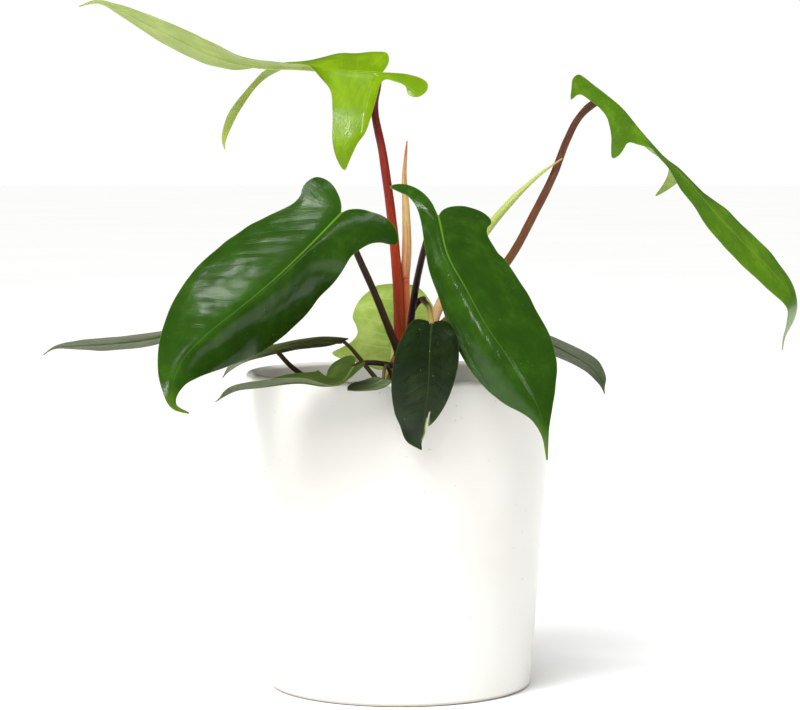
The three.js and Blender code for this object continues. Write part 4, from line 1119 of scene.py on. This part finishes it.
# each stalk's path from the crown to the blade, and its radius at shares of its length
petioles = {
    "petiole_top_left": {
        "path": [
            (0, 0, 178), (-.5, -1, 200), (-1.5, 0, 232), (-5, 2, 269), (-10.2, 5, 306),
            (-14.6, 8, 329.5), (-12, 7.4, 348.3),
        ],
        "radii": [(0, 3.1), (.35, 2.9), (.7, 2.5), (1, 1.9)],
        "skin": redStalk, "slot": "stalk_red", "shape": jointed, "seed": 3,
    },
    "petiole_front_left": {
        "path": [
            (-1, -3.5, 174), (-1, -10, 191), (-5.5, -16, 203), (-14, -25, 225), (-24, -35, 248),
            (-29, -40, 260.5), (-32.5, -44.5, 270.6),
        ],
        "radii": [(0, 2.6), (.35, 2.1), (1, 1.7)],
        "skin": brownStalk, "slot": "stalk_brown", "shape": jointed, "seed": 5,
    },
    "petiole_front_right": {
        "path": [
            (3.5, -3.5, 172), (5, -12, 196), (6, -18, 209), (9, -33, 230.5), (13.5, -48, 251.5),
            (17, -56, 263), (21, -59.5, 269.2),
        ],
        "radii": [(0, 2.6), (.35, 2.1), (1, 1.7)],
        "skin": darkStalk, "slot": "stalk_brown", "shape": jointed, "seed": 7,
    },
    "petiole_top_right": {
        "path": [
            (4, 2.5, 172), (16, 12, 197), (37.5, 18, 216.5), (62, 22, 241.5), (78, 24, 270),
            (88.5, 25, 291), (96, 26, 310.5), (102.5, 27, 323.5), (109.5, 29, 331), (119, 30, 336.8),
        ],
        "radii": [(0, 2.9), (.3, 2.6), (.7, 2.3), (1, 1.8)],
        "skin": tallStalk, "slot": "stalk_brown", "shape": jointed, "seed": 9,
    },
    "petiole_front_small": {
        "path": [
            (6, -1, 180), (7.2, -4, 199), (6.6, -12, 213), (9.5, -20, 220), (12.6, -28, 222.2),
            (13, -46, 222.6), (13.5, -67, 222.8), (16, -83, 219.8), (17, -91.6, 212.4),
        ],
        "radii": [(0, 1.9), (.5, 1.75), (1, 1.4)],
        "skin": archStalk, "slot": "stalk_brown", "seed": 13,
    },
    "petiole_back_pale": {
        "path": [(-6, 11, 150), (-8, 12, 168), (-7.5, 16, 177.5), (-5, 22, 183)],
        "radii": [(0, 1.8), (1, 1.4)],
        "skin": creamStalk, "slot": "stalk_green", "seed": 15,
    },
    "petiole_far_left": {
        "path": [
            (-3, -1, 168), (-16, -8, 172.5), (-37, -10, 173), (-53, -9, 177), (-62.5, -8, 183.5),
            (-69.5, -6, 191), (-78.5, -4, 199), (-92, 0, 206.2),
        ],
        "radii": [(0, 1.9), (.5, 1.5), (1, 1.2)],
        "skin": brownStalk, "slot": "stalk_brown", "seed": 17,
    },
    "petiole_mid_left": {
        "path": [
            (-9, -15, 150), (-8, -22, 169.5), (-12.5, -24, 176), (-22, -26, 188), (-28, -28, 195.5),
            (-32, -29, 198.9),
        ],
        "radii": [(0, 1.6), (1, 1.05)],
        "skin": oliveStalk, "slot": "stalk_green", "seed": 19,
    },
    "petiole_low_left": {
        "path": [
            (1, -3, 181), (-6, -30, 185.5), (-15.5, -60, 189), (-21.5, -82, 190), (-25, -90, 189),
        ],
        "radii": [(0, 1.9), (.4, 1.5), (1, 1.3)],
        "skin": darkStalk, "slot": "stalk_brown", "seed": 21,
    },
    "petiole_tiny": {
        "path": [(-2, -17, 150), (-3, -30, 172), (-7, -60, 187), (-8.5, -80, 186.5), (-9, -91, 182)],
        "radii": [(0, 1.4), (1, .85)],
        "skin": oliveStalk, "slot": "stalk_green", "seed": 25,
    },
    "petiole_low_right": {
        "path": [(3, 4, 172), (14.5, 19, 186), (29, 28, 199), (41, 34, 204), (48, 38, 205.3)],
        "radii": [(0, 1.9), (1, 1.3)],
        "skin": brownStalk, "slot": "stalk_brown", "seed": 27,
    },
}
for node, petiole in petioles.items():
    makeStalk(node, petiole)
print("stalks made")


# The young shoot in the middle, and the rolled new leaf

makeStalk("shoot_internode", {
    "path": [(3, 2, 180), (3.4, 3.2, 203.5), (3, 3.2, 232.6)],
    "radii": [(0, 1.9), (.9, 2.5), (1, 2.45)],
    "skin": stalkSkin("internodeSkin", {
        "colours": [(0.0, (158, 78, 26)), (0.4, (184, 84, 36)), (0.9, (200, 96, 52)), (1.0, (176, 84, 52))],
        "streak": srgb(208, 122, 74), "streakAmount": 0.3, "fleckAmount": 0.1,
    }),
    "slot": "shoot", "seed": 31, "wobble": 0.03,
})


def keeled(share, angles):
    # two keels, and a lap where the sheath closes
    lap = 1 - 0.10 * (((angles - 1.1 - 0.5 * share) / (2 * math.pi)) % 1)
    return lap * (1 + 0.06 * np.cos(2 * (angles - 0.6)))


makeStalk("shoot_sheath", {
    "path": [(3, 3.2, 232.2), (4, 3, 252), (3.5, 2.5, 271.5), (2.5, 2, 291.5), (4, 1, 311)],
    "radii": [(0, 2.65), (.03, 2.75), (.2, 2.95), (.5, 2.2), (.75, 1.4), (.93, .75), (1, .35)],
    "skin": stalkSkin("sheathSkin", {
        "colours": [
            (0.0, (196, 116, 78)), (0.12, (204, 148, 102)), (0.45, (196, 172, 108)),
            (0.75, (196, 152, 96)), (1.0, (150, 76, 44)),
        ],
        "streak": srgb(164, 104, 66), "streakAmount": 0.75, "streakScale": 0.85, "rough": 0.55,
        "fleck": srgb(224, 198, 150), "fleckAmount": 0.2, "bump": 0.7,
    }),
    "slot": "sheath", "shape": keeled, "seed": 33,
})


def rolled(share, angles):
    # the step where the rolled blade's edge laps over itself, winding once round
    lap = ((angles - 0.8 - 5.0 * share) / (2 * math.pi)) % 1
    return 1.06 - 0.22 * ease(0.25, 0.5, share) * lap


makeStalk("spear_leaf", {
    "path": [
        (6, 1, 176), (15, 7, 194), (22, 17, 214.5), (36, 27, 239), (50.5, 32.5, 259.9),
        (67.5, 30, 279.7), (82.5, 23, 293.4), (93.3, 18, 301),
    ],
    "radii": [(0, 2.4), (.35, 2.9), (.6, 2.9), (.76, 2.2), (.88, 1.1), (1, .35)],
    "skin": stalkSkin("spearSkin", {
        "colours": [
            (0.0, (160, 96, 64)), (0.3, (190, 148, 108)), (0.42, (178, 176, 112)), (0.6, (160, 176, 88)),
            (0.85, (170, 182, 100)), (0.93, (168, 172, 92)), (0.97, (184, 132, 88)), (1.0, (170, 150, 80)),
        ],
        "streak": srgb(182, 190, 118), "streakAmount": 0.4, "rough": 0.4, "fleckAmount": 0.0,
    }),
    "slot": "new_leaf", "shape": rolled, "seed": 35, "wobble": 0.03,
})


def scarred(share, angles):
    # the rings left by old leaves
    ring = np.cos(share * 46 + 0.7 * np.cos(angles - 1)) ** 6
    return 1 - 0.09 * ring


makeStalk("crown", {
    "path": [(-1, 0, 128), (-1, 0, 158), (-.5, 0, 176), (2, 0, 188), (2.5, 0, 193.5)],
    "radii": [
        (0, 3.5), (.08, 6), (.45, 7.2), (.75, 7.2), (.9, 6.6), (.96, 5.4), (.99, 3.6), (1, 1.5),
    ],
    "skin": stalkSkin("crownSkin", {
        "colours": [(0.0, (96, 70, 44)), (0.5, (104, 78, 40)), (0.8, (140, 92, 36)), (1.0, (160, 104, 40))],
        "streak": srgb(120, 96, 48), "streakAmount": 0.6, "rough": 0.7, "fleckAmount": 0.4,
        "fleck": srgb(70, 48, 30), "bump": 0.9,
    }),
    "slot": "crown_bark", "shape": scarred, "seed": 39, "wobble": 0.12,
})
print("shoot, new leaf and crown made")


# Pot

pot = {
    "height": 180, "rimRadius": 88, "baseRadius": 75, "wall": 5.5, "floor": 7,
    "footRound": 3.5, "floorRound": 5,
    "holes": 4, "holeRadius": 5, "holeOffset": 32, "holeSides": 32, "drill": 30,
    "sides": 192,
    "sharp": 38,  # degrees, from which an edge looks sharp
}
glaze = {
    "dark": srgb(208, 206, 200), "light": srgb(216, 215, 210), "speck": srgb(168, 158, 142),
    "bare": srgb(196, 190, 180), "rim": srgb(222, 216, 204), "rough": 0.30,
    "bareTo": (0.0012, 0.0024),    # m above the ground, where the unglazed foot ends
    "rimFrom": (0.1755, 0.1800),   # m, where the glaze starts to thin towards the lip
}


def potRadius(height):
    return pot["baseRadius"] + (pot["rimRadius"] - pot["baseRadius"]) * height / pot["height"]


def arc(centre, radius, start, end, count):
    turns = np.radians(np.linspace(start, end, count))
    return [(centre[0] + radius * math.cos(turn), centre[1] + radius * math.sin(turn)) for turn in turns]


def potProfile():
    # out from the middle of the underside, up the outside, over the rim and down the inside
    top, rim, foot, wall = pot["height"], pot["rimRadius"], pot["baseRadius"], pot["wall"]
    lip = wall / 2
    low, inner = pot["footRound"], pot["floorRound"]
    profile = [(0, 0), (foot - 30, 0), (foot - 6, 0)]
    profile += arc((foot - low + 0.1, low), low, -90, 0, 7)
    profile += [(potRadius(z), z) for z in np.linspace(8, top - 8, 24)]
    profile += arc((rim - lip - 0.15, top - lip), lip, 0, 180, 17)
    profile += [(potRadius(z) - wall, z) for z in np.linspace(top - 8, 16, 20)]
    profile += arc((potRadius(12) - wall - inner, pot["floor"] + inner), inner, 0, -90, 6)
    profile += [(40, pot["floor"]), (0, pot["floor"])]
    return profile


def around(radius, side, sides, height):
    turn = 2 * math.pi * side / sides
    return (radius * math.cos(turn), radius * math.sin(turn), height)


def turnedMesh(name, profile, sides):
    points = [(0, 0, profile[0][1])]
    for radius, height in profile[1:-1]:
        points += [around(radius, side, sides, height) for side in range(sides)]
    points.append((0, 0, profile[-1][1]))
    rings = len(profile) - 2
    last = 1 + (rings - 1) * sides
    faces = []
    for side in range(sides):
        after = (side + 1) % sides
        faces.append((0, 1 + after, 1 + side))
        for ring in range(rings - 1):
            a, b = 1 + ring * sides + side, 1 + ring * sides + after
            faces.append((a, b, b + sides, a + sides))
        faces.append((len(points) - 1, last + side, last + after))
    mesh = bpy.data.meshes.new(name)
    mesh.from_pydata([(x * mm, y * mm, z * mm) for x, y, z in points], [], faces)
    mesh.validate()
    return mesh


def potGlaze():
    # glossy with a few iron specks, thinner at the lip and bare under the foot
    make = Maker("potGlaze")
    place = make.place()
    x, y, z = make.parts(place)
    broad = make.noise(place, 9, 3, 0.5)
    fine = make.noise(place, 220, 3, 0.55)
    rings = make.noise(make.vector(x * 1.5, y * 1.5, z * 90), 1.0, 3, 0.5)
    colour = make.mix(make.step(broad, 0.35, 0.7), glaze["dark"], glaze["light"])
    specks = make.step(make.cells(place, 300), 0.10, 0.20, 1, 0)
    specks = specks * make.step(make.noise(place, 110, 1, 0.5), 0.60, 0.68)
    colour = make.mix(specks * 0.5, colour, glaze["speck"])
    bare = make.step(z, *glaze["bareTo"], 1, 0)
    colour = make.mix(bare, colour, glaze["bare"])
    colour = make.mix(make.step(z, *glaze["rimFrom"]) * 0.35, colour, glaze["rim"])
    return make.finish({
        "Base Color": colour,
        "Roughness": glaze["rough"] + (broad - 0.5) * 0.12 + bare * 0.45 + specks * 0.1,
        "Normal": make.bump(rings * 0.6 + fine * 0.25 + broad * 0.5, 0.16, 0.0009),
        "Coat Weight": 0.25,
        "Coat Roughness": 0.16,
    })


def makeDrills():
    # the rods that cut the drainage holes
    drills = bmesh.new()
    wide = pot["holeRadius"] * mm
    for hole in range(pot["holes"]):
        made = bmesh.ops.create_cone(drills, cap_ends=True, segments=pot["holeSides"], radius1=wide,
                                     radius2=wide, depth=pot["drill"] * mm)
        x, y, _ = around(pot["holeOffset"] * mm, hole + 0.5, pot["holes"], 0)
        bmesh.ops.translate(drills, verts=made["verts"], vec=(x, y, 0))
    mesh = bpy.data.meshes.new("drills")
    drills.to_mesh(mesh)
    drills.free()
    return linked("drills", mesh)


def makePot():
    body = linked("pot_piece", turnedMesh("pot", potProfile(), pot["sides"]))
    drills = makeDrills()
    cut = body.modifiers.new("holes", "BOOLEAN")
    cut.operation, cut.object, cut.solver = "DIFFERENCE", drills, "EXACT"
    bpy.context.view_layer.update()
    done = bpy.data.meshes.new_from_object(body.evaluated_get(bpy.context.evaluated_depsgraph_get()))
    body.modifiers.clear()
    body.data = done
    bpy.data.objects.remove(drills)
    done.polygons.foreach_set("use_smooth", [True] * len(done.polygons))
    done.materials.clear()
    done.materials.append(potGlaze())
    done.set_sharp_from_angle(angle=math.radians(pot["sharp"]))
    attach(body, "pot")
    print("pot made:", len(done.polygons), "faces")


makePot()


# Soil

soil = {
    "level": 162, "relief": 2.2, "gap": 0.15, "bottom": 7.3,
    "rings": 70, "sides": 220,
    "chips": 620, "chipSizes": (1.6, 2.2, 2.8, 3.6, 4.6),
    "grains": 150, "grainSizes": (0.8, 1.7),
    "seed": 8,
}
soilLooks = [
    # name, dark and light colour, roughness and the number of grains in a metre
    ("soilMix", srgb(38, 28, 21), srgb(78, 58, 42), 0.92, 900),
    ("barkChip", srgb(58, 38, 26), srgb(118, 84, 56), 0.82, 700),
    ("barkChipDark", srgb(36, 26, 20), srgb(84, 62, 46), 0.85, 700),
    ("perlite", srgb(196, 192, 182), srgb(236, 234, 228), 0.8, 1200),
]


def soilHeight(x, y):
    coarse = math.sin(x * 0.13 + 1.7) * math.cos(y * 0.11 - 0.6)
    middle = math.sin(x * 0.31 - y * 0.23 + 2.1) + math.cos(x * 0.19 + y * 0.37)
    fine = math.sin(x * 0.71 + y * 0.53) * math.sin(y * 0.83 - x * 0.29 + 0.9)
    mound = 2.5 * math.exp(-(x * x + y * y) / 500)
    return soil["level"] + mound + soil["relief"] * (0.45 * coarse + 0.25 * middle + 0.35 * fine)


def soilSkin(name, dark, light, rough, scale):
    make = Maker(name)
    place = make.place()
    grain = make.noise(place, scale, 5, 0.65)
    crumb = make.cells(place, scale * 1.4)
    damp = make.noise(place, 26, 3, 0.5)
    colour = make.mix(make.step(grain * 0.7 + crumb * 0.5, 0.35, 0.85), dark, light)
    colour = make.mix(make.step(damp, 0.45, 0.7) * 0.5, colour, dark)
    return make.finish({
        "Base Color": colour,
        "Roughness": rough + (grain - 0.5) * 0.1,
        "Normal": make.bump(grain + crumb * 0.8, 0.8, 0.0008),
        "Specular IOR Level": 0.25,
    })


def chunk(draw, centre, size, rounded):
    # one bark chip or grain: a small ball, stretched, turned and roughened; a chip lies rather flat
    ball = bmesh.new()
    bmesh.ops.create_icosphere(ball, subdivisions=1, radius=1)
    turn = Vector((draw.gauss(0, 1), draw.gauss(0, 1), draw.gauss(0, 1))).normalized()
    spin = turn.rotation_difference(Vector((0, 0, 1))).to_matrix()
    stretch = Vector((1, draw.uniform(0.5, 0.8), draw.uniform(0.22, 0.45)))
    if rounded:
        stretch = Vector((1, draw.uniform(0.75, 1), draw.uniform(0.7, 0.95)))
    else:
        spin = spin.lerp(spin.Identity(3), 0.65)
    points = []
    for vertex in ball.verts:
        rough = 1 + draw.uniform(-0.22, 0.22)
        points.append(Vector(centre) + spin @ (vertex.co * stretch * rough) * size)
    faces = [[vertex.index for vertex in face.verts] for face in ball.faces]
    ball.free()
    return points, faces


def soilBody(top):
    # the rough surface, then down the pot's inside to the floor
    sides, rings = soil["sides"], soil["rings"]
    points = [(0, 0, soilHeight(0, 0))]
    for ring in range(1, rings + 1):
        for side in range(sides):
            x, y, _ = around((top - 0.4) * ring / rings, side, sides, 0)
            rough = 0.9 * noise.noise(Vector((x / 4, y / 4, 3)))
            rough += 0.5 * noise.noise(Vector((x / 1.6, y / 1.6, 8)))
            points.append((x, y, soilHeight(x, y) + rough * min(1, (rings - ring) / 3)))
    inside = pot["wall"] + soil["gap"]
    wallRings = (
        (top - 0.2, soil["level"] - 8), (potRadius(90) - inside, 90), (potRadius(14) - inside, 14),
        (potRadius(7) - pot["wall"] - 6, soil["bottom"]),
    )
    for radius, height in wallRings:
        points += [around(radius, side, sides, height) for side in range(sides)]
    loops = rings + len(wallRings)
    faces = [(0, 1 + side, 1 + (side + 1) % sides) for side in range(sides)]
    for loop in range(loops - 1):
        for side in range(sides):
            a, b = 1 + loop * sides + side, 1 + loop * sides + (side + 1) % sides
            faces.append((a, a + sides, b + sides, b))
    last = 1 + (loops - 1) * sides
    points.append((0, 0, soil["bottom"]))
    faces += [(len(points) - 1, last + (side + 1) % sides, last + side) for side in range(sides)]
    return points, faces


def makeSoil():
    top = potRadius(soil["level"]) - pot["wall"] - soil["gap"]
    points, faces = soilBody(top)
    skins = [0] * len(faces)
    draw = random.Random(soil["seed"])
    for index in range(soil["chips"] + soil["grains"]):
        rounded = index >= soil["chips"]
        radius = (top - 3) * math.sqrt(draw.random())
        turn = draw.uniform(0, 2 * math.pi)
        x, y = radius * math.cos(turn), radius * math.sin(turn)
        if rounded:
            size = draw.uniform(*soil["grainSizes"])
        else:
            size = draw.choice(soil["chipSizes"]) * draw.uniform(0.8, 1.2)
        size = min(size, top - radius - 0.6)
        height = soilHeight(x, y) + size * (0.35 if rounded else 0.12)
        skin = 3 if rounded else draw.choice((1, 1, 2))
        chunkPoints, chunkFaces = chunk(draw, (x, y, height), size, rounded)
        faces += [[len(points) + corner for corner in face] for face in chunkFaces]
        skins += [skin] * len(chunkFaces)
        points += chunkPoints
    mesh = bpy.data.meshes.new("soil")
    mesh.from_pydata([Vector(point) * mm for point in points], [], faces)
    for look in soilLooks:
        mesh.materials.append(soilSkin(*look))
    mesh.polygons.foreach_set("material_index", skins)
    mesh.polygons.foreach_set("use_smooth", [skin == 0 for skin in skins])
    mesh.validate()
    attach(linked("soil_piece", mesh), "soil")
    print("soil made:", len(faces), "faces")


makeSoil()


# Floor

floor = {
    "reach": 30.0, "drop": 0.0002,  # m
    "dark": srgb(251, 251, 250), "light": srgb(253, 253, 252), "rough": 0.75,
}


def floorPaper():
    make = Maker("floorPaper")
    place = make.place()
    tooth = make.noise(place, 420, 3, 0.6)
    broad = make.noise(place, 1.3, 2, 0.5)
    return make.finish({
        "Base Color": make.mix(make.step(broad, 0.3, 0.7), floor["dark"], floor["light"]),
        "Roughness": floor["rough"] + (tooth - 0.5) * 0.1,
        "Normal": make.bump(tooth, 0.05, 0.0004),
        "Specular IOR Level": 0.2,
    })


def makeFloor():
    mesh = bpy.data.meshes.new("floor")
    corners = ((-1, -1), (1, -1), (1, 1), (-1, 1))
    points = [(x * floor["reach"], y * floor["reach"], -floor["drop"]) for x, y in corners]
    mesh.from_pydata(points, [], [(0, 1, 2, 3)])
    mesh.materials.append(floorPaper())
    linked("floor", mesh)


makeFloor()
print("scene made")
